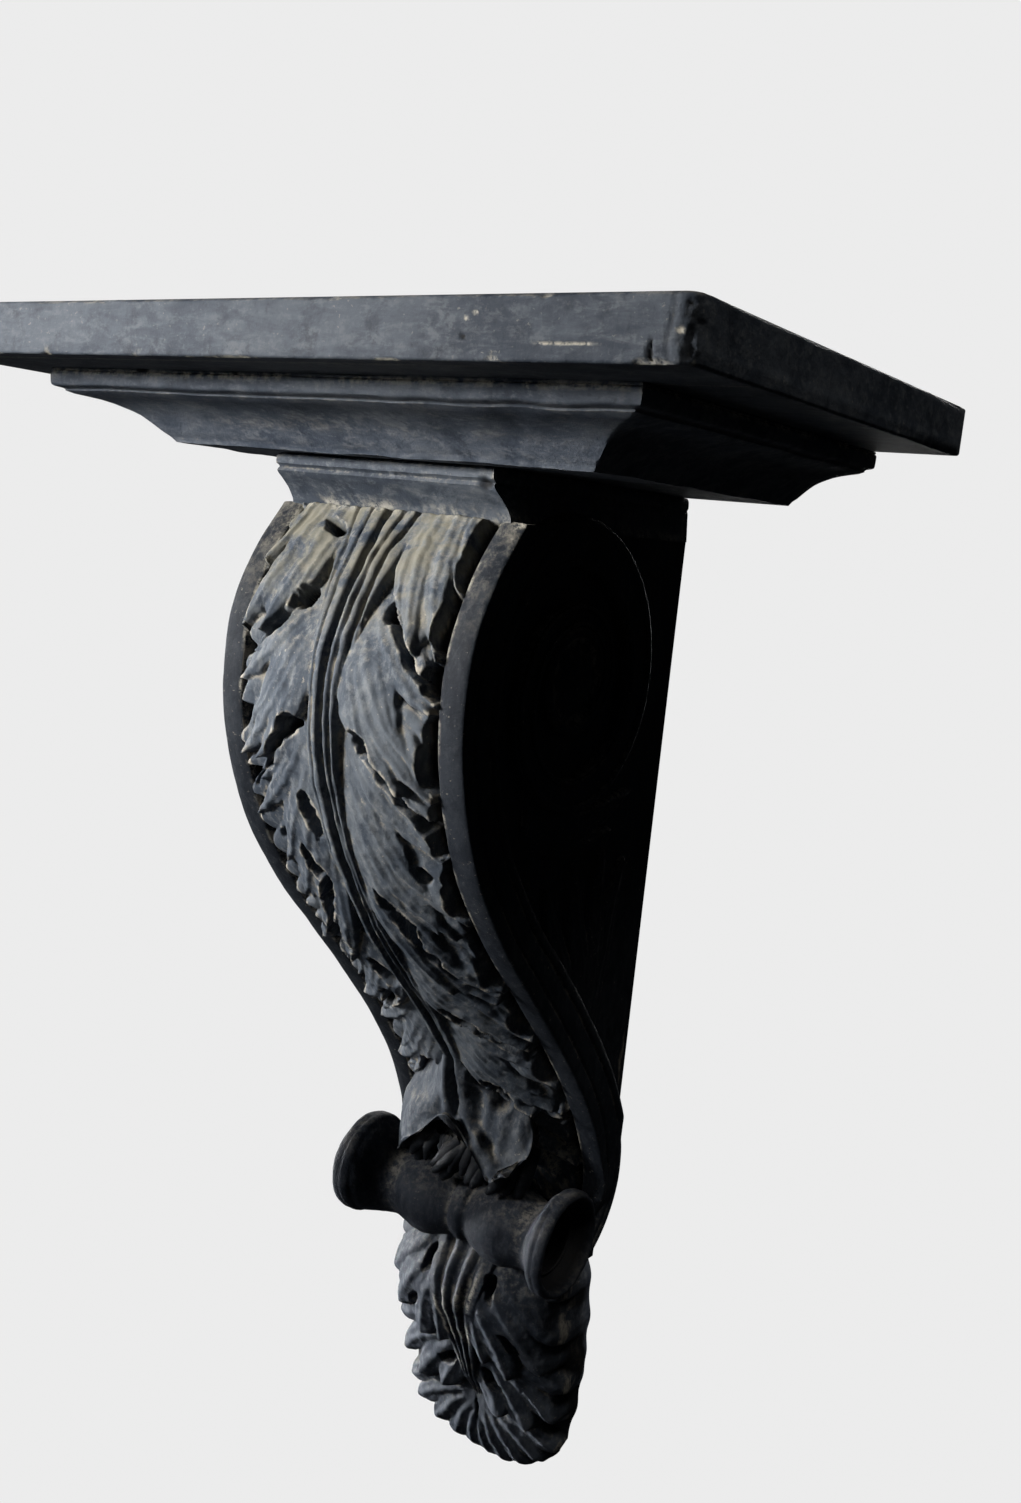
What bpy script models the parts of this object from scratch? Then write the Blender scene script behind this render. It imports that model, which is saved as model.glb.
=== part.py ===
"""Corbel shelf: a board on a bed moulding, carried by a scroll corbel with an acanthus leaf.

Axes: X runs along the shelf front, -Y comes out of the wall, +Z is up.
The origin lies on the wall plane, on the corbel's flat back.
Lengths are in millimetres here and every vertex is scaled to metres.
"""
import math

import bmesh
import bpy
import numpy as np

MM = 0.001

# Whole shelf
SHELF_WIDTH = 500.0
SHELF_DEPTH = 338.0
SHELF_TOP = 300.0
GAP = 0.3

# Board
SLAB_THICK = 28.0
SLAB_CORNER = 10.0
SLAB_EDGE = 3.0

# Bed moulding: inset from the board's edge and depth below the board's top
BED_PROFILE = (
    (49.5, 28.3), (49.0, 30.5), (51.0, 31.2), (50.0, 33.0), (49.7, 36.0), (50.6, 38.4), (53.0, 40.0),
    (57.5, 41.4), (64.0, 42.6), (72.0, 44.4), (77.0, 46.0), (83.0, 48.5), (88.0, 51.4), (92.0, 54.8),
    (95.6, 58.2), (98.2, 60.4), (100.0, 62.3), (101.5, 64.0),
)

# Neck: depth below the board's top, front distance from the wall, half width
NECK_PROFILE = (
    (64.3, 219.0, 77.0), (66.5, 221.6, 78.4), (71.2, 221.8, 78.6), (72.2, 219.6, 78.0), (73.4, 219.6, 78.0),
    (74.6, 220.4, 78.6), (78.0, 216.6, 78.8), (83.0, 210.2, 79.2), (88.0, 205.6, 79.6), (92.3, 203.6, 80.0),
    (94.6, 200.0, 77.0),
)

# Scroll: depth below the board's top and front distance from the wall, along the rim
RIM_CURVE = (
    (92.4, 202.0), (100.0, 208.0), (115.0, 219.5), (137.0, 232.0), (162.0, 240.6), (187.0, 243.0),
    (212.0, 241.6), (237.0, 236.0), (262.0, 227.0), (287.0, 215.0), (312.0, 198.0), (337.0, 178.0),
    (368.0, 148.5), (400.0, 118.0), (431.0, 90.0), (462.0, 65.0), (487.0, 48.5), (512.0, 36.0),
    (530.0, 29.0), (545.0, 30.0), (562.0, 40.0), (582.0, 50.0), (603.0, 53.0),
)
RIM_OUTER = 90.0
RIM_INNER = 73.0
PANEL = 79.5
RELIEF_FLOOR = -7.5
BAND_WIDTH = 33.0

# Leaf on the front: depths along the scroll, from its top
STEM_TOP_HALF = 25.0
LOBES = (
    (-34.0, ((62.0, 6.0), (69.0, 46.0), (72.0, 88.0))),
    (56.0, ((68.0, 92.0), (71.0, 119.0), (73.0, 163.0), (54.0, 176.0))),
    (130.0, ((68.0, 160.0), (72.0, 203.0), (60.0, 268.0), (42.0, 286.0))),
    (236.0, ((62.0, 262.0), (72.0, 327.0), (56.0, 352.0), (36.0, 372.0))),
    (338.0, ((62.0, 344.0), (73.0, 390.0), (66.0, 424.0), (42.0, 452.0))),
    (424.0, ((64.0, 424.0), (73.0, 462.0), (66.0, 500.0), (44.0, 520.0))),
)
EYES = ((29.0, 62.0), (26.0, 136.0), (25.0, 246.0), (27.0, 352.0), (30.0, 440.0))

# Roll across the foot of the scroll: end discs and the waisted bar between them
DISC_DEPTH = 562.0
DISC_FRONT = 68.0
DISC_RADIUS = 35.0
BAR_DEPTH = 573.0
BAR_FRONT = 50.0
# Distance from the middle and radius
ROLL_PROFILE = (
    (0.0, 26.0), (5.5, 25.6), (8.0, 21.5), (13.0, 21.3), (22.0, 25.2), (34.0, 27.7), (47.0, 27.8), (58.0, 25.4),
    (68.0, 22.4), (75.7, 23.5), (80.0, 29.0), (82.4, 34.2), (88.4, 35.0), (90.3, 32.0), (90.0, 28.0), (87.2, 26.0),
    (87.0, 15.0), (89.4, 9.0),
)

# Pendant leaf: depth below the board's top, half width, front distance from the wall
PENDANT_LENGTH = 205.0
PENDANT = (
    (588.0, 66.0, 50.0), (604.0, 70.0, 55.0), (622.0, 73.0, 64.0), (640.0, 74.5, 66.0), (660.0, 74.0, 58.0),
    (680.0, 73.0, 48.0), (700.0, 70.0, 39.0), (720.0, 66.0, 32.0), (740.0, 61.0, 27.0), (758.0, 54.0, 24.0),
    (772.0, 45.0, 20.0), (783.0, 33.0, 15.0), (790.0, 19.0, 10.0), (793.0, 6.0, 7.0),
)

# Resolution
FRONT_COLUMNS = (0.0, 1.8, 6.5, 12.0, 17.0, 22.0, 28.0, 35.0, 42.0, 49.0, 56.0, 62.0, 68.0, 72.4, 75.0, 83.0, 88.5)
BODY_ROWS = 52


def smooth(points, x, column=1):
    """Smooth curve through hand-set points, as a cubic with slopes from the neighbours."""
    px = np.array([p[0] for p in points], float)
    py = np.array([p[column] for p in points], float)
    slope = np.gradient(py, px)
    x = np.clip(np.asarray(x, float), px[0], px[-1])
    i = np.clip(np.searchsorted(px, x) - 1, 0, len(px) - 2)
    step = px[i + 1] - px[i]
    t = (x - px[i]) / step
    a = (1 + 2 * t) * (1 - t) ** 2 * py[i] + t * (1 - t) ** 2 * step * slope[i]
    b = t * t * (3 - 2 * t) * py[i + 1] + t * t * (t - 1) * step * slope[i + 1]
    return a + b


def ramp(x, low, high):
    """0 below low, 1 above high, eased between."""
    t = np.clip((np.asarray(x, float) - low) / (high - low), 0.0, 1.0)
    return t * t * (3 - 2 * t)


def soft_max(a, b, blend):
    """The larger of two heights with a rounded meeting line."""
    return np.maximum(a, b) + np.maximum(blend - np.abs(a - b), 0.0) ** 2 / (4 * blend)


def rim_line(count):
    """Points equally spaced along the rim: depth, front distance, length from the top, outward normal."""
    depth = np.linspace(RIM_CURVE[0][0], RIM_CURVE[-1][0], 900)
    front = smooth(RIM_CURVE, depth)
    length = np.concatenate(([0.0], np.cumsum(np.hypot(np.diff(depth), np.diff(front)))))
    even = np.linspace(0.0, length[-1], count)
    d = np.interp(even, length, depth)
    f = np.interp(even, length, front)
    run_d = np.gradient(d, even)
    run_f = np.gradient(f, even)
    norm = np.hypot(run_d, run_f)
    return d, f, even, run_d / norm, -run_f / norm


def nearest(x, s, points):
    """Distance to a polyline and the share of its length at the nearest point."""
    best = np.full(x.shape, 1e9)
    share = np.zeros(x.shape)
    parts = len(points) - 1
    for i in range(parts):
        a = points[i]
        run = points[i + 1] - a
        u = np.clip(((x - a[0]) * run[0] + (s - a[1]) * run[1]) / (run @ run), 0, 1)
        gap = (x - a[0] - u * run[0]) ** 2 + (s - a[1] - u * run[1]) ** 2
        closer = gap < best
        best[closer] = gap[closer]
        share[closer] = ((i + u) / parts)[closer]
    return np.sqrt(best), share


def bend_line(root, bend, tip, count=10):
    """Curve from root to tip, drawn towards the bend point."""
    t = np.linspace(0, 1, count)[:, None]
    root, bend, tip = (np.array(p, float) for p in (root, bend, tip))
    return (1 - t) ** 2 * root + 2 * t * (1 - t) * bend + t ** 2 * tip


def leaflet(x, s, line, width, root_height, tip_height, crown):
    """Height of one leaflet: a crowned blade that falls off steeply outside its edge."""
    gap, t = nearest(x, s, line)
    half = width * (0.6 + 0.4 * np.sin(np.pi * np.clip(t, 0, 1) * 0.8)) * np.sqrt(np.clip(1.02 - t ** 5, 0.02, 1))
    q = gap / half
    height = root_height + (tip_height - root_height) * t + crown * (1 - np.minimum(q, 1) ** 2)
    return height - 1.6 * np.maximum(gap - half, 0)


def stem_half(s):
    """Half width of the fluted stem, flaring at the top."""
    s = np.maximum(s, 0.0)
    return 8.0 + 10.0 * np.exp(-s / 230.0) + 8.0 * np.exp(-s / 24.0)


def swell(s):
    """How far the leaf's middle stands in front of the rims."""
    rise = (
        (0.0, 4.0), (50.0, 5.0), (75.0, 7.0), (95.0, 10.0), (120.0, 12.0), (230.0, 12.0), (270.0, 14.0),
        (310.0, 15.5), (350.0, 15.5), (390.0, 16.5), (420.0, 17.0), (445.0, 16.0), (480.0, 12.0), (540.0, 6.0),
    )
    return smooth(rise, s)


def leaf_front(x, s):
    """Height of the carved front over the rim surface, for x from the middle and s down the scroll."""
    x = np.abs(x)
    height = np.full(x.shape, RELIEF_FLOOR)
    for root, tips in LOBES:
        for order, (tip_x, tip_s) in enumerate(tips):
            half = stem_half(root + 10.0)
            start = (half * 0.7, root + 4.0 * order)
            middle = (half + (tip_x - half) * (0.55 - 0.1 * order), root + (tip_s - root) * 0.36)
            span = math.hypot(tip_x, tip_s - root)
            blade = leaflet(x, s, bend_line(start, middle, (tip_x - 1.0, tip_s)), 7.5 + 0.06 * span, 6.0, 1.0, 2.2)
            height = soft_max(height, blade, 1.0)
    dome = (swell(s) - 8.0) * (1 - (x / RIM_INNER) ** 2)
    height = np.where(height > RELIEF_FLOOR + 1.0, height + dome, height)
    half = stem_half(s)
    stem = swell(s) + 1.5 - 2.5 * (x / half) ** 2 - 4.0 * np.exp(-(x / 2.2) ** 2) - 1.4 * np.maximum(x - half, 0)
    height = soft_max(height, stem, 1.5)
    for eye_x, eye_s in EYES:
        hole = np.hypot((x - eye_x) / 6.0, (s - eye_s) / 9.0)
        height = np.minimum(height, RELIEF_FLOOR + 14.0 * np.maximum(hole - 0.35, 0) * 1.4 + 4.0)
    rim = -2.4 * np.maximum(RIM_INNER - x, 0) + 0.6 * np.clip(1 - ((x - 81.5) / 9) ** 2, 0, 1)
    height = np.maximum(height, rim)
    fade = ramp(s, 0.0, 6.0) * (1 - ramp(s, 500.0, 520.0))
    return height * fade


def make_object(name, points, faces, material):
    """Closed mesh object from millimetre points, outward and triangulated."""
    mesh = bpy.data.meshes.new(name)
    builder = bmesh.new()
    verts = [builder.verts.new((p[0] * MM, p[1] * MM, p[2] * MM)) for p in points]
    for face in faces:
        builder.faces.new([verts[i] for i in face])
    bmesh.ops.recalc_face_normals(builder, faces=builder.faces)
    bmesh.ops.triangulate(builder, faces=builder.faces)
    builder.to_mesh(mesh)
    builder.free()
    made = bpy.data.objects.new(name, mesh)
    bpy.context.scene.collection.objects.link(made)
    if material:
        mesh.materials.append(material)
    return made


def ring_solid(name, rings, material=None):
    """Closed solid from rings of equal count, with flat end caps."""
    count = len(rings[0])
    points = [p for ring in rings for p in ring]
    faces = []
    for i in range(len(rings) - 1):
        for j in range(count):
            k = (j + 1) % count
            faces.append((i * count + j, i * count + k, (i + 1) * count + k, (i + 1) * count + j))
    faces.append(tuple(range(count)))
    faces.append(tuple(range((len(rings) - 1) * count, len(rings) * count)))
    return make_object(name, points, faces, material)


def join_solid(body, extra):
    """Union of two solids into the first."""
    step = body.modifiers.new("union", "BOOLEAN")
    step.operation = "UNION"
    step.solver = "EXACT"
    step.object = extra
    graph = bpy.context.evaluated_depsgraph_get()
    mesh = bpy.data.meshes.new_from_object(body.evaluated_get(graph))
    body.modifiers.remove(step)
    body.data = mesh
    bpy.data.objects.remove(extra, do_unlink=True)
    return body


def top_z(depth):
    """Height in the part's frame for a depth below the board's top."""
    return SHELF_TOP - depth


def plan_ring(half, front, corner, depth, back=0.0):
    """Plan outline at one depth: flat at the wall, rounded at the two front corners."""
    ring = [(-half, back, top_z(depth))]
    turns = 5 if corner > 0 else 1
    for side in (-1, 1):
        for i in range(turns):
            angle = math.pi / 2 * (i / (turns - 1) if turns > 1 else 0.0)
            reach = angle if side < 0 else math.pi / 2 - angle
            x = half - corner + corner * math.cos(reach) if corner > 0 else half
            y = front - corner + corner * math.sin(reach) if corner > 0 else front
            ring.append((side * x, -y, top_z(depth)))
    ring.append((half, back, top_z(depth)))
    return ring


def shelf_slab(material):
    """The board: a slab with rounded front corners and eased edges."""
    half = SHELF_WIDTH / 2
    rings = []
    for inset, depth in ((SLAB_EDGE, 0.0), (1.0, 0.8), (0.0, SLAB_EDGE)):
        rings.append(plan_ring(half - inset, SHELF_DEPTH - inset, SLAB_CORNER - inset, depth))
    for inset, depth in ((0.0, SLAB_THICK - SLAB_EDGE), (1.0, SLAB_THICK - 0.8), (SLAB_EDGE, SLAB_THICK)):
        rings.append(plan_ring(half - inset, SHELF_DEPTH - inset, SLAB_CORNER - inset, depth))
    return ring_solid("shelf_slab", rings, material)


def bed_moulding(material):
    """The moulded course, mitred at the front corners."""
    half = SHELF_WIDTH / 2
    rings = [plan_ring(half - inset, SHELF_DEPTH - inset, 0.0, depth) for inset, depth in BED_PROFILE]
    return ring_solid("bed_moulding", rings, material)


def scroll_body():
    """The scroll with its rims, front leaf and raised side bands, as one grid of rings."""
    d, f, s, out_f, out_d = rim_line(BODY_ROWS)
    columns = np.array(FRONT_COLUMNS)
    tall = RIM_OUTER - PANEL
    rings = []
    for i in range(BODY_ROWS):
        height = leaf_front(columns, np.full(columns.shape, s[i]))
        front = f[i] + out_f[i] * height
        depth = d[i] + out_d[i] * height
        half_ring = [(columns[j], -front[j], top_z(depth[j])) for j in range(len(columns))]
        scale = min(1.0, (f[i] - 4.0) / 44.0) / max(out_f[i], 0.66)
        narrow = 7.0 * float(ramp(d[i], 562.0, 600.0))
        for step, rise in ((1.4, tall), (BAND_WIDTH - 1.5, tall), (BAND_WIDTH, tall - 1.5), (BAND_WIDTH + 1.0, 0.0)):
            half_ring.append((PANEL + rise - narrow, -(f[i] - step * scale), top_z(d[i])))
        behind = f[i] - (BAND_WIDTH + 1.0) * scale
        half_ring.append((PANEL - narrow, -behind * 0.5, top_z(d[i])))
        half_ring.append((PANEL - narrow, 0.0, top_z(d[i])))
        left = [(-x, y, z) for x, y, z in reversed(half_ring[1:])]
        rings.append(left + half_ring)
    return ring_solid("corbel", rings)


def band_strip(side, stations, face):
    """A raised band on the side: outer and inner edges at each station, as front distance and depth."""
    rings = []
    for outer, inner in stations:
        outer = np.array(outer)
        inner = np.array(inner)
        width = outer - inner
        ring = []
        for share, x in ((1.0, 74.9), (1.0, face - 1.1), (0.93, face), (0.5, face - 0.9), (0.07, face), (0.0, face - 1.1),
                         (0.0, 74.9)):
            place = inner + width * share
            ring.append((side * x, -place[0], top_z(place[1])))
        rings.append(ring)
    return ring_solid("band", rings)


def upper_volute(side):
    """The band that leaves the rim below the neck and winds in to the boss."""
    stations = []
    for step in range(27):
        angle = 158.0 - step * 21.5
        wound = max(0.0, 120.0 - angle)
        radius = 111.0 * math.exp(-0.0024 * wound)
        share = 0.5 + 0.5 * math.cos(math.pi * min(1.0, wound / 420.0))
        centre = np.array((137.0, 195.0)) * share + np.array((128.0, 180.0)) * (1 - share)
        way = np.array((-math.cos(math.radians(angle)), -math.sin(math.radians(angle))))
        stations.append((centre + way * radius, centre + way * radius * 0.72))
    return band_strip(side, stations, 89.6)


def lower_volute(side):
    """The band that turns under the end disc."""
    stations = []
    for step in range(10):
        angle = math.radians(66.0 - step * 18.5)
        way = np.array((-math.cos(angle), -math.sin(angle)))
        centre = np.array((68.0, 527.0))
        stations.append((centre + way * 64.5, centre + way * (34.0 - 0.5 * step)))
    return band_strip(side, stations, 89.5)


def boss(side):
    """Round boss at the eye of the upper volute."""
    turns = 16
    rings = []
    for x, radius in ((75.3, 32.0), (86.0, 31.4), (86.6, 27.0), (83.2, 24.0), (84.0, 16.0), (88.6, 8.0)):
        rings.append([
            (side * x, -(128.0 + radius * math.cos(2 * math.pi * k / turns)),
             top_z(180.0 + radius * math.sin(2 * math.pi * k / turns)))
            for k in range(turns)
        ])
    return ring_solid("boss", rings)


def side_leaf(side, root, bend, tip, width, rise):
    """Domed leaf lying on the side panel."""
    line = bend_line(root, bend, tip, 8)
    run = np.gradient(line, axis=0)
    rings = []
    for i, place in enumerate(line):
        share = i / (len(line) - 1)
        half = width * (0.25 + 0.75 * math.sin(math.pi * min(1.0, 0.12 + share * 0.86)))
        across = np.array((-run[i][1], run[i][0])) / np.hypot(*run[i])
        ring = [(-1.0, 0.0), (-0.7, 0.8), (-0.3, 1.0), (0.0, 0.55), (0.3, 1.0), (0.7, 0.8), (1.0, 0.0)]
        points = []
        for q, up in ring:
            spot = place + across * half * q
            points.append((side * (PANEL - 2.0 + (rise + 2.0) * up), -spot[0], top_z(spot[1])))
        rings.append(points)
    return ring_solid("leaf", rings)


def neck():
    """The neck course on top of the scroll."""
    return ring_solid("neck", [plan_ring(half, front, 0.0, depth) for depth, front, half in NECK_PROFILE])


def roll():
    """The waisted bar with its end discs, turned about an axis along X."""
    turns = 18
    rings = []
    half_profile = list(ROLL_PROFILE)
    profile = [(-x, r) for x, r in reversed(half_profile[1:])] + half_profile
    for x, radius in profile:
        blend = float(ramp(abs(x), 60.0, 80.0))
        centre_f = BAR_FRONT + (DISC_FRONT - BAR_FRONT) * blend
        centre_d = BAR_DEPTH + (DISC_DEPTH - BAR_DEPTH) * blend
        rings.append([
            (x, -(centre_f + radius * math.cos(2 * math.pi * k / turns)),
             top_z(centre_d + radius * math.sin(2 * math.pi * k / turns)))
            for k in range(turns)
        ])
    return ring_solid("roll", rings)


def curled_tip():
    """The leaf's end, lifted off the scroll and turned over above the roll."""
    spine = (
        (70.0, 425.0, 46.0, 18.0), (78.0, 458.0, 46.0, 15.0), (80.0, 484.0, 44.0, 12.0), (82.0, 508.0, 41.0, 10.0),
        (87.0, 526.0, 37.0, 9.0), (93.0, 538.0, 32.0, 8.0), (92.0, 549.0, 27.0, 7.0), (84.0, 556.0, 22.0, 6.0),
    )
    rings = []
    for front, depth, half, thick in spine:
        upper = []
        lower = []
        for q in (-1.0, -0.75, -0.4, 0.0, 0.4, 0.75, 1.0):
            droop = 22.0 * q * q * (1.0 if depth < 530 else 0.5)
            bulge = thick * (1 - 0.8 * q * q)
            upper.append((q * half, -(front - droop), top_z(depth + 3.0 * q * q)))
            lower.append((q * half * 0.94, -(front - droop - bulge), top_z(depth + 2.0)))
        rings.append(upper + lower[::-1])
    return ring_solid("tip", rings)


def pendant_front(x, depth, half, front):
    """Front distance of the pendant leaf: a dome with a ribbed stem and rows of rounded lobes."""
    q = np.abs(x) / half
    dome = front * (0.42 + 0.58 * np.sqrt(np.clip(1 - q ** 2.4, 0, 1)))
    stem = 3.0 * np.exp(-(x / 12.0) ** 2) * (1 - ramp(depth, 720.0, 745.0))
    lobes = np.zeros(x.shape)
    for row, (centre_x, centre_d, wide, tall) in enumerate(
        ((34.0, 640.0, 17.0, 22.0), (62.0, 652.0, 14.0, 20.0), (26.0, 700.0, 15.0, 22.0), (54.0, 704.0, 15.0, 22.0),
         (18.0, 745.0, 13.0, 18.0), (44.0, 744.0, 13.0, 18.0), (12.0, 778.0, 11.0, 12.0), (34.0, 770.0, 11.0, 14.0))
    ):
        away = ((np.abs(x) - centre_x) / wide) ** 2 + ((depth - centre_d) / tall) ** 2
        lobes = np.maximum(lobes, 6.0 * np.clip(1 - away, 0, 1) ** 0.5)
    return dome - 3.0 + stem + lobes * min(1.0, front / 18.0)


def pendant_leaf():
    """The leaf that hangs from the roll against the wall."""
    rings = []
    top = PENDANT[0][0]
    stretch = PENDANT_LENGTH / (PENDANT[-1][0] - top)
    for depth in np.concatenate((np.linspace(588.0, 775.0, 19), np.array((781.0, 786.0, 790.0, 793.0)))):
        low = top_z(top + (depth - top) * stretch)
        wave = 2.2 * math.sin((depth - 600.0) / 36.0 * 2 * math.pi) * float(ramp(depth, 600.0, 612.0))
        half = float(smooth(PENDANT, depth, 1)) + wave * float(1 - ramp(depth, 770.0, 785.0))
        front = float(smooth(PENDANT, depth, 2))
        x = half * np.array((-1.0, -0.93, -0.8, -0.65, -0.5, -0.36, -0.22, -0.1, 0.0, 0.1, 0.22, 0.36, 0.5, 0.65, 0.8, 0.93, 1.0))
        y = pendant_front(x, depth, half, front)
        ring = [(x[j], -max(y[j], 1.5), low) for j in range(len(x))]
        ring += [(half, 0.0, low), (-half, 0.0, low)]
        rings.append(ring)
    return ring_solid("pendant", rings)


def plaster(name, colour, roughness):
    """Plain painted material for a piece."""
    material = bpy.data.materials.new(name)
    material.use_nodes = True
    shader = material.node_tree.nodes["Principled BSDF"]
    shader.inputs["Base Color"].default_value = (*colour, 1.0)
    shader.inputs["Roughness"].default_value = roughness
    material.diffuse_color = (*colour, 1.0)
    return material


def corbel(material):
    """The casting: neck, scroll, roll, curled tip and pendant leaf in one."""
    body = scroll_body()
    extras = [neck(), roll(), pendant_leaf(), curled_tip()]
    for side in (-1, 1):
        extras += [upper_volute(side), lower_volute(side), boss(side)]
        extras.append(side_leaf(side, (150.0, 262.0), (110.0, 268.0), (44.0, 250.0), 19.0, 6.0))
        extras.append(side_leaf(side, (150.0, 296.0), (92.0, 318.0), (46.0, 432.0), 22.0, 7.0))
    for part in extras:
        body = join_solid(body, part)
    builder = bmesh.new()
    builder.from_mesh(body.data)
    bmesh.ops.remove_doubles(builder, verts=builder.verts, dist=0.00002)
    bmesh.ops.dissolve_degenerate(builder, edges=builder.edges, dist=0.00002)
    bmesh.ops.triangulate(builder, faces=builder.faces)
    builder.to_mesh(body.data)
    builder.free()
    body.data.materials.clear()
    body.data.materials.append(material)
    return body


def main():
    """Clear the scene and build the three pieces."""
    for old in list(bpy.data.objects):
        bpy.data.objects.remove(old, do_unlink=True)
    shelf_slab(plaster("slab_paint", (0.060, 0.068, 0.082), 0.72))
    bed_moulding(plaster("moulding_paint", (0.056, 0.064, 0.078), 0.72))
    corbel(plaster("corbel_paint", (0.052, 0.060, 0.074), 0.75))


main()
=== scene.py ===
"""Corbel shelf: a moulded board on a scroll corbel with an acanthus leaf, in slate paint over plaster."""
import math

import bmesh
import bpy
import numpy as np
from bpy.props import FloatProperty, FloatVectorProperty, IntProperty, PointerProperty
from mathutils import Matrix, Vector


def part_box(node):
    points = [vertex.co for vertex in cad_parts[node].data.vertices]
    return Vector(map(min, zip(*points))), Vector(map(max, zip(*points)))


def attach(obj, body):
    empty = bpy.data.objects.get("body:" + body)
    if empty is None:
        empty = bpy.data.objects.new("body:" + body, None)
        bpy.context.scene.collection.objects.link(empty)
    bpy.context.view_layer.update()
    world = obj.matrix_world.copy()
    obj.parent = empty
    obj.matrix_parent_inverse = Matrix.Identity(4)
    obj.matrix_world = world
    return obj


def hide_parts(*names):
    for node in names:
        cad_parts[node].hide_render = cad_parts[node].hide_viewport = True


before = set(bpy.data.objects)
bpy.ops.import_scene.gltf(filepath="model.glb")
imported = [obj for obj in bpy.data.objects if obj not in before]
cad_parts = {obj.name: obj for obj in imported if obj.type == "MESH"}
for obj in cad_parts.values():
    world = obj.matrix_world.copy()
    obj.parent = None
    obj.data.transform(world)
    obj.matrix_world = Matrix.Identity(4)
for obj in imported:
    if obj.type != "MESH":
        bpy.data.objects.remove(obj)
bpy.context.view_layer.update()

bl_info = {
    "name": "Corbel Shelf",
    "version": (1, 0, 0),
    "blender": (4, 5, 0),
    "location": "View3D > Sidebar > Corbel Shelf",
    "description": "Builds a carved corbel shelf piece by piece",
    "category": "Object",
}

MM = 1000.0
SHELF_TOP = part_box("shelf_slab")[1][2] * MM
# All lengths in the tables are in millimetres, unless a comment says metres
LEAF_LENGTH = 546
LEAF_BACK = 12
PANEL_FACE = 79.5
BOSS_CENTRE = (128, 180)
BAR_CENTRE = (54, 573)
DISC_CENTRE = (68, 562)

# Shape of the casting, in millimetres: depth below the board's top, then distance from the wall
RIM_CURVE = (
    (92.4, 202), (100, 208), (115, 219.5), (137, 232), (162, 240.6), (187, 243), (212, 241.6), (237, 236),
    (262, 227), (287, 215), (312, 198), (337, 178), (368, 148.5), (400, 118), (431, 90), (462, 65),
    (487, 48.5), (512, 36), (530, 29), (545, 28), (562, 30), (582, 33), (603, 35),
)
# Inset from the board's edge and depth below the board's top
BED_PROFILE = (
    (50.2, 28.3), (49.8, 29.2), (50.6, 29.8), (49.5, 30.2), (49.3, 31), (49.3, 33), (49.4, 35),
    (49.5, 36.6), (49.8, 37.6), (50.8, 38.2), (52.6, 38.6), (54.4, 38.9), (55.4, 39.5), (55.6, 40.4),
    (59, 41.7), (64, 42.6), (70, 43.8), (75, 45.2), (79, 46.8), (83, 48.6), (86.4, 50.5), (89.4, 52.8),
    (92, 55), (94.6, 57.4), (96.8, 59.4), (98.6, 60.6), (99.8, 61.6), (100.8, 62.8), (101.8, 64),
)
# Depth below the board's top, distance from the wall and half width
NECK_PROFILE = (
    (64.3, 218.6, 77), (65.4, 220.6, 77.8), (66.6, 221.6, 78.4), (69, 221.9, 78.6), (70.8, 221.6, 78.6),
    (71.8, 219.8, 78.1), (72.6, 219.2, 77.9), (73.6, 219.8, 78.3), (74.8, 220.3, 78.6), (76.4, 218.8, 78.7),
    (78.4, 216, 78.8), (81, 212.6, 79.1), (84, 209.2, 79.3), (87, 206.4, 79.6), (90, 204.4, 79.8),
    (92.3, 203.6, 80), (95, 200, 77),
)
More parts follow.
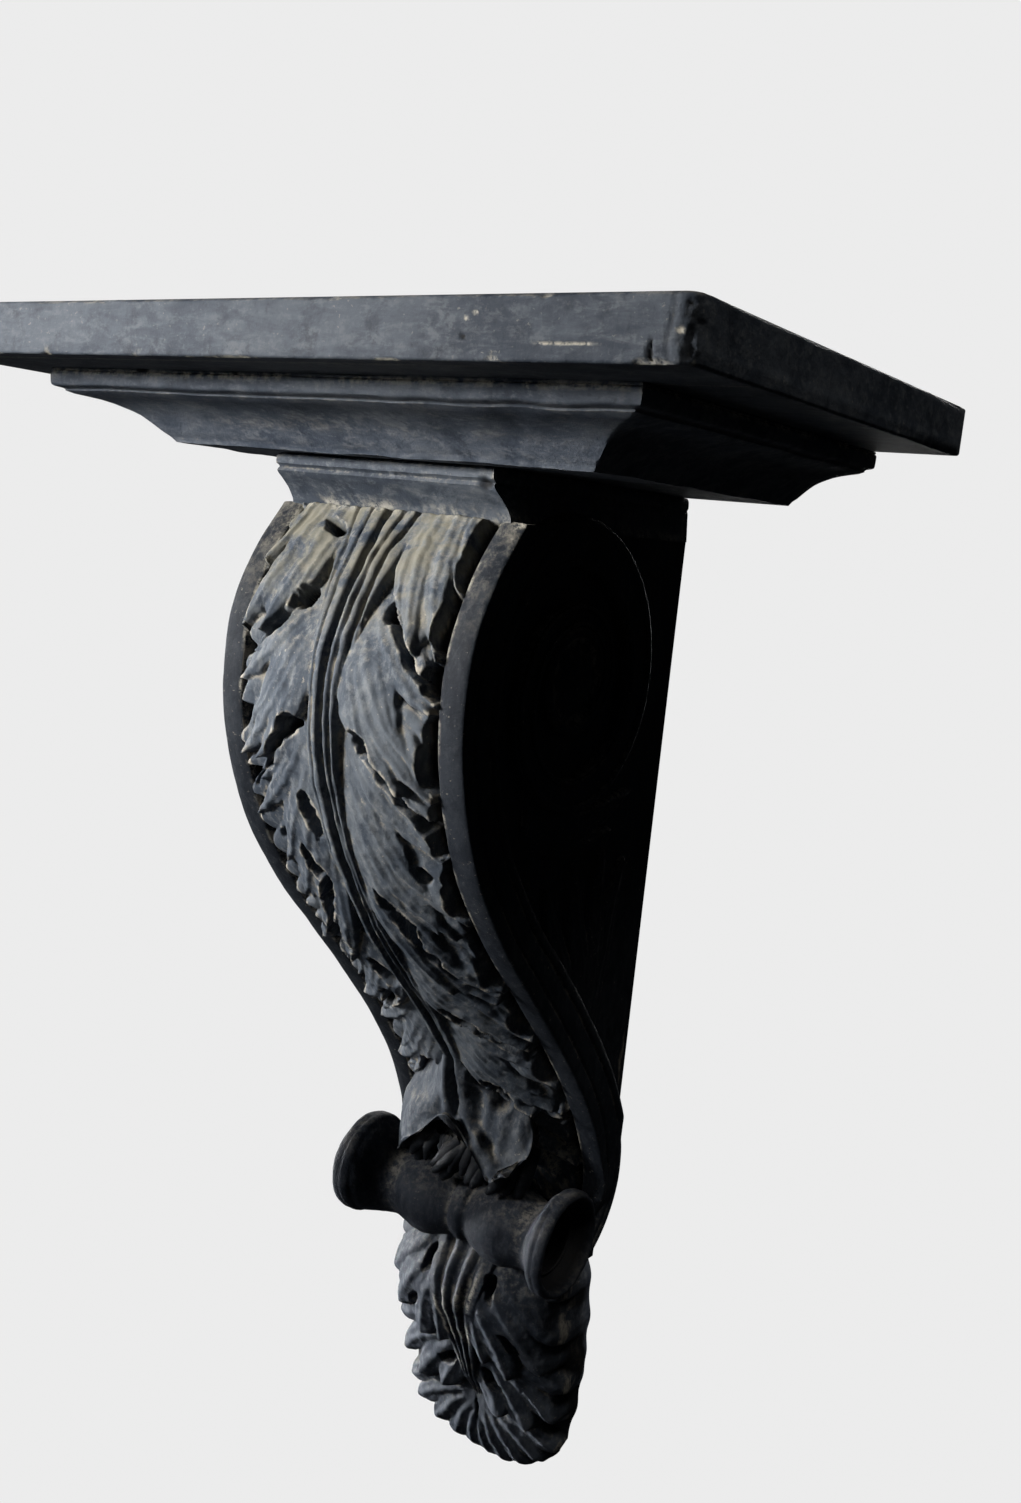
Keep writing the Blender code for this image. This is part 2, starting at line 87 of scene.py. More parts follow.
# Blades of the leaf, lobe by lobe: start, bend and tip (from the middle, down the scroll), half width, and
# height at the root, in the middle and at the tip
BLADES = (
    ((38, -44), (38, 30), (54, 82), 19, 2.5, 5, 3),
    ((66, -44), (62, -10), (70, 4), 5, 2, 3.5, 0.5),
    ((54, -44), (54, 14), (72.5, 47), 6.5, 3, 5, 1),
    ((43, -44), (44, 36), (72.8, 88), 8, 4, 6.5, 2),
    ((35, -40), (31, 42), (56, 86), 8, 4, 7, 6),
    ((30, -20), (26, 44), (42, 75), 6.5, 3, 6.5, 6),
    ((22, 56), (28, 108), (52, 152), 18, -2, 4.8, 3.5),
    ((25, 50), (44, 76), (61, 98), 6.5, -3, 2.5, 1),
    ((24, 54), (38, 88), (72.5, 116), 7, -2, 4.2, 1),
    ((22, 58), (30, 108), (60, 142), 8.5, -1, 6, 2.5),
    ((21, 64), (24, 124), (72.8, 163), 7.5, 0, 7, 2.5),
    ((20, 72), (20, 128), (54, 160), 8, 1, 7.5, 6.5),
    ((19, 80), (18, 126), (40, 148), 6.5, 1, 7, 6.5),
    ((20, 132), (30, 196), (50, 262), 19, -2, 5, 2.5),
    ((18, 180), (29, 250), (47, 322), 17, -1, 5.5, 3.5),
    ((22, 124), (42, 152), (61, 178), 7, -3, 2.8, 1),
    ((21, 128), (34, 168), (72.5, 202), 7, -2, 4.2, 1),
    ((20, 134), (30, 192), (60, 236), 8.5, -1, 6, 2),
    ((19, 144), (24, 214), (61, 266), 8.5, 0, 6.8, 2),
    ((18, 154), (22, 240), (58, 296), 8, 1, 7.5, 3),
    ((17, 168), (20, 262), (72.8, 318), 7.5, 1, 8.5, 4),
    ((16, 190), (16, 262), (42, 318), 7, 1, 8, 7.5),
    ((18, 256), (25, 322), (52, 376), 18, -2, 5, 3.5),
    ((20, 248), (36, 300), (63, 334), 7, -3, 3.4, 1),
    ((19, 254), (30, 312), (61, 352), 8, -2, 5, 2),
    ((18, 262), (26, 330), (62, 370), 8.5, -1, 6.2, 2),
    ((17, 272), (22, 344), (72.8, 386), 7.5, 0, 7.5, 2.5),
    ((16, 286), (18, 348), (54, 384), 8, 1, 7.5, 6.5),
    ((15, 300), (15, 350), (38, 368), 6.5, 1, 7, 6.5),
    ((16, 342), (21, 400), (52, 448), 18, -2, 5, 3.5),
    ((18, 338), (40, 370), (61, 398), 7, -3, 3.2, 0.5),
    ((17, 344), (32, 384), (72.5, 413), 7, -2, 4.8, 1),
    ((16, 352), (26, 404), (61, 438), 8.5, -1, 6.2, 2),
    ((15, 362), (20, 416), (72.8, 457), 7.5, 0, 7.5, 2.5),
    ((14, 376), (16, 424), (52, 456), 8, 1, 7.5, 7),
    ((13, 388), (13, 426), (38, 446), 6.5, 1, 7, 7),
    ((14, 430), (19, 480), (50, 534), 18, -2, 4.5, 0),
    ((16, 424), (34, 456), (62, 480), 7.5, -3, 3.2, 1),
    ((15, 432), (28, 472), (71.5, 508), 8, -2, 5, 1),
    ((14, 442), (22, 486), (62, 532), 9, -1, 5.5, 2),
    ((12, 456), (16, 500), (46, 540), 9, 0, 5, 2),
)
# How far the leaf's middle stands in front of the rims, down the scroll
SWELL = (
    (0, 4), (50, 5), (75, 7), (95, 10), (120, 12), (230, 12), (270, 14), (310, 15.5), (350, 15.5),
    (390, 16.5), (420, 17), (445, 18), (480, 17), (540, 10),
)
# Grooves of the stem: places down the scroll with their distance right of the middle, depth, width, end
FLUTES = (
    ((-44, -3), (40, 0), (160, 0.8), (546, 0.6), 7, 1.9, 600),
    ((-44, 15), (30, 8), (120, 5.8), (546, 4.6), 2.6, 1, 420),
    ((-44, 30), (30, 15), (120, 10.5), (546, 8), 3.2, 1.3, 330),
    ((-44, 46), (30, 24), (90, 15), (546, 12), 2.4, 1.2, 150),
    ((-44, 60), (20, 38), (60, 26), (546, 20), 1.8, 1.4, 75),
    ((-44, -19), (30, -10), (120, -7.4), (546, -6), 2.4, 1.1, 480),
    ((-44, -36), (30, -18), (90, -12), (546, -9), 2.2, 1.2, 150),
    ((-44, -54), (20, -32), (60, -22), (546, -18), 1.6, 1.4, 80),
)
# Drilled eyes under the lobes: from the middle (below 0 for the left half alone), down the scroll, half
# length, half width, lean
EYES = (
    (31, 65, 7, 4.6, 0.75), (26, 136, 6, 4.4, 0.85), (27, 246, 11, 3, 1.15), (28, 354, 7.5, 3.6, 1),
    (30, 436, 6.5, 3.8, 0.9), (40, 476, 9, 4.2, 1.15), (-18, 188, 10, 3.4, 1.3), (-27, 222, 9, 4.4, 1.1),
    (-16, 318, 9, 4, 1.1), (-33, 20, 8, 3, 0.5), (-40, 290, 6, 3, 0.9), (54, 214, 5, 2.4, 1),
)
# Places down the right rim where a leaf tip bridges the dark slot beside it, with the tip's half length
BRIDGES = (
    (50, 5), (85, 4), (112, 5), (160, 6), (200, 4), (252, 7), (315, 8), (375, 6), (430, 7),
)
# Dark clefts that run from the eyes to the rim, between one lobe and the next
CLEFTS = (
    ((31, 65), (45, 80), (56, 92), (68, 101)), ((26, 136), (41, 153), (54, 168), (68, 184)),
    ((27, 246), (36, 276), (48, 302), (68, 318)), ((28, 354), (40, 372), (54, 386), (70, 399)),
    ((30, 436), (40, 454), (54, 464), (68, 471)),
)
# Chips and cracks on the board's front: place, depth below the top, half length, half height, bite, paleness
MARKS = (
    (0, 28.4, 20, 0.9, 1.4, 0.9), (-31, 28.4, 5, 0.8, 0.9, 0.6), (190, 20.6, 17, 0.6, 0.7, 0.8),
    (230.5, 23, 1.3, 4.2, 1.8, -1), (242.6, 15.2, 1.5, 1.4, 0.6, 1), (139, 17.8, 1.5, 1.2, 0.9, -1),
    (179, 0.8, 3.4, 1.6, 1.5, 0.3), (96, 28.2, 8, 0.9, 0.8, 0.7), (-142, 28.2, 4, 1.4, 1.2, -1),
    (232, 27.6, 8, 1.6, 1.6, 0.4), (-96, 0.6, 4, 1.2, 0.9, 0.2), (64, 0.5, 6, 1, 0.8, 0.3),
    (144.5, 8, 1.3, 0.9, 0.3, 0.7), (140, 10.4, 1.3, 0.9, 0.3, 0.7), (-203, 25, 3, 1.2, 0.8, 0.6),
)
# Middle of the turned-over tip: distance from the wall, depth, half width, thickness
TIP_LINE = (
    (104, 432, 13, 12), (94, 448, 18, 11), (87, 464, 31, 9.5), (83.5, 480, 44, 8), (84, 492, 49, 6.5),
    (87, 501, 51, 5.5), (91, 506.5, 51.5, 4.5), (94, 509, 51.5, 3.8),
)
# Depth below the board's top, half width and distance from the wall of the hanging leaf
PENDANT_LINE = (
    (588, 66, 50), (604, 70, 55), (622, 74, 64), (640, 76, 66), (660, 76.5, 58), (680, 76.5, 48),
    (700, 76, 39), (720, 74.5, 32), (740, 71.5, 27), (758, 66, 24), (772, 57, 20), (783, 44, 15),
    (790, 27, 10), (793, 9, 7),
)
# Tiers of lobes on the hanging leaf: root, bend, tip (from the middle, depth), half width, two heights
PENDANT_LOBES = (
    ((5, 734), (42, 742), (74, 757), 9, -3, 2.5), ((5, 738), (36, 752), (61, 773), 9.5, -3, 3),
    ((4, 742), (26, 760), (43, 786), 9.5, -3, 3.2), ((3, 744), (14, 766), (25, 792), 9.5, -3, 3.2),
    ((1, 748), (5, 770), (8, 796), 8.5, -3, 3), ((8, 672), (46, 682), (77, 700), 11, -2, 4.5),
    ((8, 680), (42, 700), (70, 727), 12, -1.5, 6), ((8, 684), (30, 708), (49, 741), 12.5, -1, 7),
    ((6, 690), (16, 712), (25, 738), 11.5, -1, 7), ((16, 590), (50, 598), (76, 622), 11, 0, 4.5),
    ((16, 600), (50, 622), (76, 655), 12, 0, 6), ((16, 606), (44, 640), (66, 682), 13, 1, 8),
    ((14, 618), (30, 650), (39, 694), 12.5, 1, 9), ((12, 628), (17, 660), (20, 690), 9, 1, 7.5),
)
# Drilled eyes of the hanging leaf, in the same order as the others
PENDANT_EYES = ((0, 752, 6, 3, 1.5), (19, 709, 9, 4.2, 0.7), (27, 622, 9, 3.6, 1.35), (44, 664, 9, 2.6, 0.9))
# Profiles turned round the roll and the boss: place along the axis and radius
ROLL_PROFILE = (
    (0, 23), (2.4, 23.2), (4.2, 22.4), (5.6, 21), (7, 20.4), (9, 21.2), (12, 23), (17, 25.4), (23, 27.4),
    (31, 28.8), (39, 28.4), (47, 26.4), (53, 24.6), (57, 24.2), (61, 25), (65, 26.8), (69, 29.2),
    (72.6, 31.6), (75, 33), (76, 33), (76.8, 33.6), (78, 35), (80.4, 36), (82.2, 36.4), (83.2, 35.9),
    (84.4, 36.3), (87.2, 36.2), (89.2, 35.4), (90.3, 34), (90.4, 32.8), (89.6, 31.8), (86, 31.2),
    (82.4, 30.6), (78.8, 29), (76.8, 26.6), (75.6, 25), (76.6, 24), (77.2, 23), (76, 21.6), (71, 20.2),
    (66, 17.8), (64, 12), (63.6, 5), (63.6, 1.2),
)
BOSS_PROFILE = (
    (75, 32.5), (84, 32.5), (86.2, 32), (87.2, 30.6), (87.4, 28.8), (86.6, 27.2), (84.6, 26), (83.4, 24),
    (83.4, 21), (84.4, 18.6), (86.2, 16), (88, 12.6), (89.2, 8.4), (89.8, 4), (89.9, 0.6),
)
# Blades of the carved leaves on the sides: root, bend, tip (from the wall, depth), half width, height
HUSK = (
    ((158, 262), (120, 268), (60, 236), 8, 4), ((158, 264), (110, 284), (44, 254), 9, 5),
    ((158, 266), (116, 292), (62, 278), 8, 4),
)
FROND = (
    ((58, 436), (60, 340), (40, 300), 9, 4), ((58, 436), (72, 340), (70, 290), 10, 5),
    ((58, 436), (92, 350), (104, 296), 10, 5.5), ((58, 436), (104, 370), (134, 306), 9, 5),
    ((58, 438), (96, 394), (124, 346), 8, 4),
)
# Inputs of the node trees, in metres: the lower wound band, and the three rows of fingers
LOWER_VOLUTE = {
    "Radius": 0.0645, "Tightening": 0.0, "Start Angle": 0.75, "Turn": 1.70, "Face": 0.0862,
    "Centre Y": -0.068, "Centre Z": SHELF_TOP / MM - 0.527, "Eye Y": -0.068, "Eye Z": SHELF_TOP / MM - 0.529,
    "Width": 0.16, "Steps": 90,
}
FINGERS = {
    "front": {"Fingers": 16, "Front": 0.079, "Half Width": 0.036, "Length": 0.027, "Thickness": 0.0042,
              "Height": -0.213, "Bow": -0.1},
    "middle": {"Fingers": 15, "Front": 0.072, "Half Width": 0.040, "Length": 0.036, "Thickness": 0.0046,
               "Seed": 7},
    "back": {"Fingers": 12, "Front": 0.062, "Half Width": 0.046, "Seed": 9, "Bow": -0.24, "Length": 0.044,
             "Thickness": 0.0062},
}
# Finishes: tint, dust, grime, brown at the top, and how the streaks are drawn out. The tint is partly painted
# shade: each piece has its own lighter or darker copy of the one slate paint, set for the light on it
LEVEL_STREAKS = (0.3, 0.6, 1.0)
UPRIGHT_STREAKS = (1.0, 1.0, 0.35)
PAINTS = {
    "board paint": ((0.47, 0.48, 0.49), 0.5, 0.8, 0, LEVEL_STREAKS),
    "moulding paint": ((0.76, 0.76, 0.77), 0.4, 0.9, 0, LEVEL_STREAKS),
    "neck paint": ((0.66, 0.66, 0.65), 0.6, 0.9, 0, LEVEL_STREAKS),
    "leaf paint": ((0.97, 0.96, 0.92), 1.4, 1.0, 0.9, UPRIGHT_STREAKS),
    "tip paint": ((0.74, 0.73, 0.71), 1.1, 1.0, 0, UPRIGHT_STREAKS),
    # The scroll, roll, hanging leaf and fingers get dark tints: painted shade where little light reaches
    # them, low down and under the shelf and the tip, besides darker paint low down
    "scroll paint": ((0.145, 0.157, 0.175), 0.8, 0.9, 0.06, UPRIGHT_STREAKS),
    "roll paint": ((0.19, 0.20, 0.225), 0.3, 0.9, 0, UPRIGHT_STREAKS),
    "hanging leaf paint": ((0.35, 0.36, 0.38), 0.6, 1.0, 0, UPRIGHT_STREAKS),
    "finger paint": ((0.07, 0.075, 0.085), 0.4, 1.0, 0, UPRIGHT_STREAKS),
}
# Lights: name, place and target in metres, power, size, colour, spread in degrees
LIGHTS = (
    ("key", (-0.85, -1.25, 0.46), (0.03, -0.22, 0.262), 4.6, 0.28, (1.0, 0.985, 0.955), 51),
    ("fill", (-1.0, -1.5, -0.5), (0.0, -0.12, 0.05), 0.85, 0.7, (0.95, 0.97, 1.0), 90),
    ("side", (1.0, -0.5, 2.0), (0.2, -0.15, 0.2), 1.35, 0.5, (1.0, 0.97, 0.9), 60),
    ("back", (-0.6, 2.2, 0.6), (0.0, 0.0, 0.0), 9.0, 1.2, (1.0, 1.0, 1.0), 60),
    ("left", (-2.0, -0.12, -0.1), (-0.08, -0.05, -0.22), 2.2, 0.8, (0.96, 0.98, 1.0), 36),
    ("low", (-2.0, -0.45, -0.56), (-0.07, -0.06, -0.435), 1.1, 0.25, (0.98, 0.99, 1.0), 12),
)
BACKDROP = (0.838, 0.838, 0.838, 1.0)
FLOOR_LEVEL = -1100
# The photo's camera: place in metres, turns in radians, focal length and photo height in pixels, sensor
CAMERA_PLACE = (0.50468, -0.8159, SHELF_TOP / MM - 0.09758)
CAMERA_TURNS = ((0.5904, "Z"), (-0.1576, "X"), (-0.1003, "Y"))
FOCAL_PIXELS = 1370.62
PHOTO_HEIGHT = 1503
SENSOR = 36


def smooth(points, x, column=1):
    """Smooth curve through listed points, as a cubic with slopes from the neighbours."""
    px = np.array([p[0] for p in points], float)
    py = np.array([p[column] for p in points], float)
    slope = np.gradient(py, px)
    x = np.clip(np.asarray(x, float), px[0], px[-1])
    i = np.clip(np.searchsorted(px, x) - 1, 0, len(px) - 2)
    step = px[i + 1] - px[i]
    t = (x - px[i]) / step
    a = (1 + 2 * t) * (1 - t) ** 2 * py[i] + t * (1 - t) ** 2 * step * slope[i]
    b = t * t * (3 - 2 * t) * py[i + 1] + t * t * (t - 1) * step * slope[i + 1]
    return a + b


def spread(points, count):
    """The columns of listed rows, each smoothly drawn out to a count of even steps."""
    even = np.linspace(0, len(points) - 1, count)
    return [smooth(list(enumerate(column)), even) for column in zip(*points)]


def ramp(x, low, high):
    """0 below low, 1 above high, eased between."""
    t = np.clip((np.asarray(x, float) - low) / (high - low), 0, 1)
    return t * t * (3 - 2 * t)


def bell(x, middle, width):
    """1 at the middle, a third at one width from it and nearly 0 beyond two."""
    return np.exp(-((x - middle) / width) ** 2)


def soft_max(a, b, blend):
    """The larger of two heights with a rounded meeting line."""
    return np.maximum(a, b) + np.maximum(blend - np.abs(a - b), 0) ** 2 / (4 * blend)


def cloud(points, size, seed):
    """Smooth seeded noise from -1 to 1 at each point, with lumps of the given size in millimetres."""
    table = np.random.default_rng(seed).uniform(-1, 1, (32, 32, 32))
    spot = np.asarray(points, float) / size
    cell = np.floor(spot).astype(int)
    part = spot - cell
    part = part * part * (3 - 2 * part)
    shares = [(1 - part[..., axis], part[..., axis]) for axis in range(3)]
    total = np.zeros(spot.shape[:-1])
    for i, j, k in np.ndindex(2, 2, 2):
        near = tuple((cell[..., axis] + step) % 32 for axis, step in enumerate((i, j, k)))
        total += shares[0][i] * shares[1][j] * shares[2][k] * table[near]
    return total


def normals(front, depth, steps=None):
    """Outward directions along a line on the front: share to the front and share downwards."""
    run_f = np.gradient(front) if steps is None else np.gradient(front, steps)
    run_d = np.gradient(depth) if steps is None else np.gradient(depth, steps)
    norm = np.hypot(run_d, run_f)
    return run_d / norm, -run_f / norm


def rim_line(count):
    """Points equally spaced along the rim: depth, distance from the wall, length, outward direction."""
    depth = np.linspace(RIM_CURVE[0][0], RIM_CURVE[-1][0], 900)
    front = smooth(RIM_CURVE, depth)
    length = np.concatenate(([0], np.cumsum(np.hypot(np.diff(depth), np.diff(front)))))
    even = np.linspace(0, length[-1], count)
    d = np.interp(even, length, depth)
    f = np.interp(even, length, front)
    return d, f, even, *normals(f, d, even)


def nearest(x, s, points):
    """Distance to a polyline and the share of its length at the nearest point."""
    points = np.array(points, float)
    best = np.full(x.shape, 1e9)
    share = np.zeros(x.shape)
    parts = len(points) - 1
    for i in range(parts):
        a = points[i]
        run = points[i + 1] - a
        u = np.clip(((x - a[0]) * run[0] + (s - a[1]) * run[1]) / (run @ run), 0, 1)
        gap = (x - a[0] - u * run[0]) ** 2 + (s - a[1] - u * run[1]) ** 2
        closer = gap < best
        best[closer] = gap[closer]
        share[closer] = ((i + u) / parts)[closer]
    return np.sqrt(best), share


def bend_line(root, bend, tip):
    """Curve from root to tip, drawn towards the bend point."""
    t = np.linspace(0, 1, 16)[:, None]
    root, bend, tip = (np.array(p, float) for p in (root, bend, tip))
    return (1 - t) ** 2 * root + 2 * t * (1 - t) * bend + t ** 2 * tip


def lay_leaflet(height, x, s, line, width, levels, crown, vein, wall, merge=0.5, rounded=0.75, taper=4.5):
    """Lay one leaflet into a height map: a crowned blade with fine veins, merged near its root."""
    pad = width * 1.3 + 9
    low = line.min(0) - pad
    high = line.max(0) + pad
    near = (x > low[0]) & (x < high[0]) & (s > low[1]) & (s < high[1])
    if not near.any():
        return
    gap, t = nearest(x[near], s[near], line)
    half = width * (1.10 - 0.26 * t) * np.clip(1 - t ** taper, 0, 1) ** rounded + 0.35
    q = gap / half
    root_level, middle_level, tip_level = levels
    top = root_level + (middle_level - root_level) * ramp(t, 0, 0.5) + (tip_level - middle_level) * t ** 3
    top = top + crown * (0.45 + 0.55 * t) * (1 - np.minimum(q, 1) ** 2)
    shown = ramp(t, 0.05, 0.3) * (1 - ramp(t, 0.75, 1))
    top = top + vein * (np.cos(np.minimum(q, 1.2) * 7.4) - 0.25) * shown
    top = top - wall * np.maximum(gap - half, 0)
    height[near] = soft_max(height[near], top, 0.35 + merge * 3 * (1 - t))


def stem_half(s):
    """Half width of the fluted stem, flaring at the top."""
    s = np.maximum(s, -45)
    return 7.5 + 6.5 * np.exp(-np.maximum(s, 0) / 160) + 26 * np.exp(-s / 36)


def carve_eye(height, side, along, eye, ground):
    """Sink one drilled eye with a ragged edge into a height map."""
    eye_x, eye_s, length, width, lean = eye
    run = (side - eye_x) * math.cos(lean) + (along - eye_s) * math.sin(lean)
    off = (along - eye_s) * math.cos(lean) - (side - eye_x) * math.sin(lean)
    near = (np.abs(run) < 3 * length) & (np.abs(off) < 4 * width)
    spot = np.stack((side[near], along[near], np.full(near.sum(), eye_x)), axis=-1)
    ragged = 0.15 + 0.35 * cloud(spot, 5, 81) + 0.2 * cloud(spot, 2.6, 82)
    away = np.hypot(run[near] / length, off[near] / width) + ragged
    sunk = ground + 14 * np.maximum(away - 0.75, 0) * (width / 4 + 0.5)
    height[near] = np.minimum(height[near], sunk)


def leaf_front(x, s, floor, inner):
    """Height of the carved front over the rim surface, for x from the middle and s down the scroll."""
    wide = np.abs(x)
    left = x < 0
    spot = np.stack((x, s, np.zeros(x.shape)), axis=-1)
    calm = ramp(wide, 4, 20)
    side = wide + (1.7 * cloud(spot, 24, 91) + cloud(spot, 6.5, 92)) * calm
    along = s + (2.4 * cloud(spot, 28, 93) + 1.2 * cloud(spot, 6, 94)) * calm + np.where(left, 1.5, 0)
    # Ground: a thin plate with a toothed edge, which leaves a dark slot beside each rim
    tooth = np.mod((s - 0.9 * wide + 7 * cloud(spot, 30, 84)) / 19, 1)
    tooth = 1 - np.abs(2 * tooth ** 0.7 - 1) ** 1.6
    reach = np.where(left, 9 + 4 * cloud(spot, 26, 83), 3) * tooth
    edge = np.where(left, 61.5, 64) + 2.5 * cloud(spot, 17, 87) + 1.2 * cloud(spot, 7, 86) + reach
    plate = 0.6 + 0.9 * cloud(spot, 12, 85) + 2 * (tooth - 0.6) * ramp(wide, 40, 60)
    height = np.maximum(floor, plate - 3.2 * np.maximum(wide - edge, 0))
    # Lobes, then the tips that bridge the slot on the right
    for start, bend, tip, width, *levels in BLADES:
        shift = max(0, start[0] - 0.9 * float(stem_half(start[1])))
        start = (start[0] - shift, start[1])
        line = bend_line(start, (bend[0] - 0.6 * shift, bend[1]), (tip[0] - 0.6, tip[1]))
        look = (2.6, 0, 2.2, 1, 0.6) if width > 11 else (3.2, 0.36, 3.2, 0.7)
        lay_leaflet(height, side, along, line, width, levels, *look)
    right = np.where(x > 0, side, -99)
    slot = np.zeros(x.shape)
    for place, half_length in BRIDGES:
        line = bend_line((46, place - 36), (60, place - 18), (74.5, place))
        lay_leaflet(height, right, along, line, half_length + 1.5, (1, 4, 2), 2.4, 0.25, 3.2, 0.6)
        slot = np.maximum(slot, bell(along, place, half_length))
    raised = ramp(height, floor + 0.5, floor + 4)
    height = height + (smooth(SWELL, s) - 7.5) * (1 - (x / inner) ** 2) * raised
    # Fluted stem
    half = stem_half(s)
    stem = smooth(SWELL, s) + 2.2 - 3 * (wide / half) ** 2 - 1.9 * np.maximum(wide - half, 0)
    for *places, depth, width, end in FLUTES:
        middle = np.interp(s, [p[0] for p in places], [p[1] for p in places]) + 0.5 * np.sin(s / 27 + depth)
        stem = stem - depth * bell(x, middle, width) * (1 - ramp(s, end - 50, end))
    height = soft_max(height, stem + 0.5 * cloud(spot, 9, 90), 0.8)
    # Clefts between the lobes, the open slot on the right, and the drilled eyes
    ragged = 0.3 + 2 * cloud(spot, 9, 88) - np.where(left, 0.9, 0)
    for points in CLEFTS:
        gap, _ = nearest(side, along, points)
        height = np.minimum(height, floor + 2.5 + 4.5 * np.maximum(gap - ragged, 0))
    open_edge = inner - 6.6 + 9 * slot + 1.6 * cloud(spot, 8, 80)
    height = np.minimum(height, floor + 1.5 + 4 * np.maximum(open_edge - x, 0) + 30 * ramp(s, 440, 470))
    for eye in EYES:
        carve_eye(height, np.where(left, -side, side) if eye[0] < 0 else side, along, eye, floor - 1.5)
    return np.maximum(height, -2.8 * np.maximum(inner - wide, 0))


def pair(values):
    """A column twice, for the two points that close a row at the back."""
    return np.repeat(values[:, None], 2, axis=1)


def top_z(depth):
    """Height in the frame, in millimetres, for a depth below the board's top."""
    return SHELF_TOP - depth


def link_mesh(name, mesh):
    """Object for a mesh, placed in the scene."""
    made = bpy.data.objects.new(name, mesh)
    bpy.context.scene.collection.objects.link(made)
    return made


def grid_object(name, points, wrap=True, solid=True):
    """Mesh object from rows of millimetre points: wrapped round or open, and solid if asked."""
    rows, across = points.shape[:2]
    index = np.arange(rows * across).reshape(rows, across)
    around = np.concatenate((index, index[:, :1]), axis=1) if wrap else index
    faces = np.stack((around[:-1, :-1], around[:-1, 1:], around[1:, 1:], around[1:, :-1]), axis=-1)
    faces = faces.reshape(-1, 4).tolist()
    caps = [index[0, ::-1], index[-1]]
    if not wrap:
        caps += [index[:, 0], index[::-1, -1], index[[0, -1, -1, 0], [0, 0, -1, -1]]]
    if solid:
        faces += [cap.tolist() for cap in caps]
    mesh = bpy.data.meshes.new(name)
    mesh.from_pydata((points.reshape(-1, 3) / MM).tolist(), [], faces)
    made = link_mesh(name, mesh)
    if solid:
        face_out(mesh)
    return made


def face_out(mesh):
    """Turn every face outwards on a closed mesh."""
    builder = bmesh.new()
    builder.from_mesh(mesh)
    bmesh.ops.recalc_face_normals(builder, faces=builder.faces)
    builder.to_mesh(mesh)
    builder.free()
    mesh.update()


def mesh_points(mesh):
    """Places, in metres, and normals of a mesh's points."""
    both = np.empty((2, len(mesh.vertices) * 3))
    mesh.vertices.foreach_get("co", both[0])
    mesh.vertices.foreach_get("normal", both[1])
    return both.reshape(2, -1, 3)


def roughen(made, *steps):
    """Push a mesh's points along their normals by seeded noise: size, depth and seed in each step."""
    place, normal = mesh_points(made.data)
    push = sum(depth * cloud(place * MM, size, seed) for size, depth, seed in steps)
    wall = ramp(-place[:, 1], 0.0005, 0.004)
    place = place + normal * (push * wall / MM)[:, None]
    place[:, 1] = np.minimum(place[:, 1], 0)
    made.data.vertices.foreach_set("co", place.ravel())
    made.data.update()


def mark_wear(made, rounds, reach):
    """Store how far each point stands above or below its smoothed surroundings, as ridge and hollow."""
    mesh = made.data
    count = len(mesh.vertices)
    place, normal = mesh_points(mesh)
    place = place * MM
    edges = np.empty(len(mesh.edges) * 2, np.int64)
    mesh.edges.foreach_get("vertices", edges)
    a, b = edges.reshape(-1, 2).T
    ends = np.concatenate((a, b))
    other = np.concatenate((b, a))
    degree = np.maximum(np.bincount(ends, minlength=count), 1)
    calm = place.copy()
    for _ in range(rounds):
        for axis in range(3):
            calm[:, axis] = np.bincount(ends, weights=calm[other, axis], minlength=count) / degree
    span = np.linalg.norm(place[a] - place[b], axis=1)
    span = np.bincount(ends, weights=np.concatenate((span, span)), minlength=count) / degree
    trust = (1 - ramp(span, 2, 3.8)) * ramp(-place[:, 1], 2, 8)
    lift = np.einsum("ij,ij->i", place - calm, normal) / reach * trust
    stain(made, ridge=lift, hollow=-lift)


def stain(made, **layers):
    """Store values from 0 to 1 for each point, under the names that the paint reads."""
    for name, value in layers.items():
        layer = made.data.attributes.new(name, "FLOAT", "POINT")
        layer.data.foreach_set("value", np.clip(value, 0, 1).astype(np.float32).ravel())


def dress(made, paint, sharp, node="corbel"):
    """Give a finished piece its material, smooth shading and place in the frame."""
    made.data.materials.clear()
    made.data.materials.append(paint_for(paint))
    made.data.shade_smooth()
    made.data.set_sharp_from_angle(angle=math.radians(sharp))
    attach(made, "root")
    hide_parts(node)


def arithmetic(kind, swapped=False):
    """An operator for Socket that adds one Math node."""
    def work(self, other):
        first, second = (other, self) if swapped else (self, other)
        return self.sheet.math(kind, first, second)
    return work


class Socket:
    """A node's output that takes plain arithmetic."""

    __add__ = arithmetic("ADD")
    __radd__ = arithmetic("ADD", True)
    __sub__ = arithmetic("SUBTRACT")
    __rsub__ = arithmetic("SUBTRACT", True)
    __mul__ = arithmetic("MULTIPLY")
    __rmul__ = arithmetic("MULTIPLY", True)
    __truediv__ = arithmetic("DIVIDE")

    def __init__(self, sheet, link):
        self.sheet = sheet
        self.link = link

    def between(self, low, high):
        """0 below low, 1 above high, eased between."""
        values = {"Value": self, "From Min": low, "From Max": high}
        return self.sheet.add("ShaderNodeMapRange", {"interpolation_type": "SMOOTHSTEP"}, values)

    def limit(self):
        """The value held between 0 and 1."""
        return self.sheet.add("ShaderNodeClamp", values={"Value": self})

    def upward(self):
        """The Z part of a vector."""
        return self.sheet.add("ShaderNodeSeparateXYZ", values={0: self}, output=2)


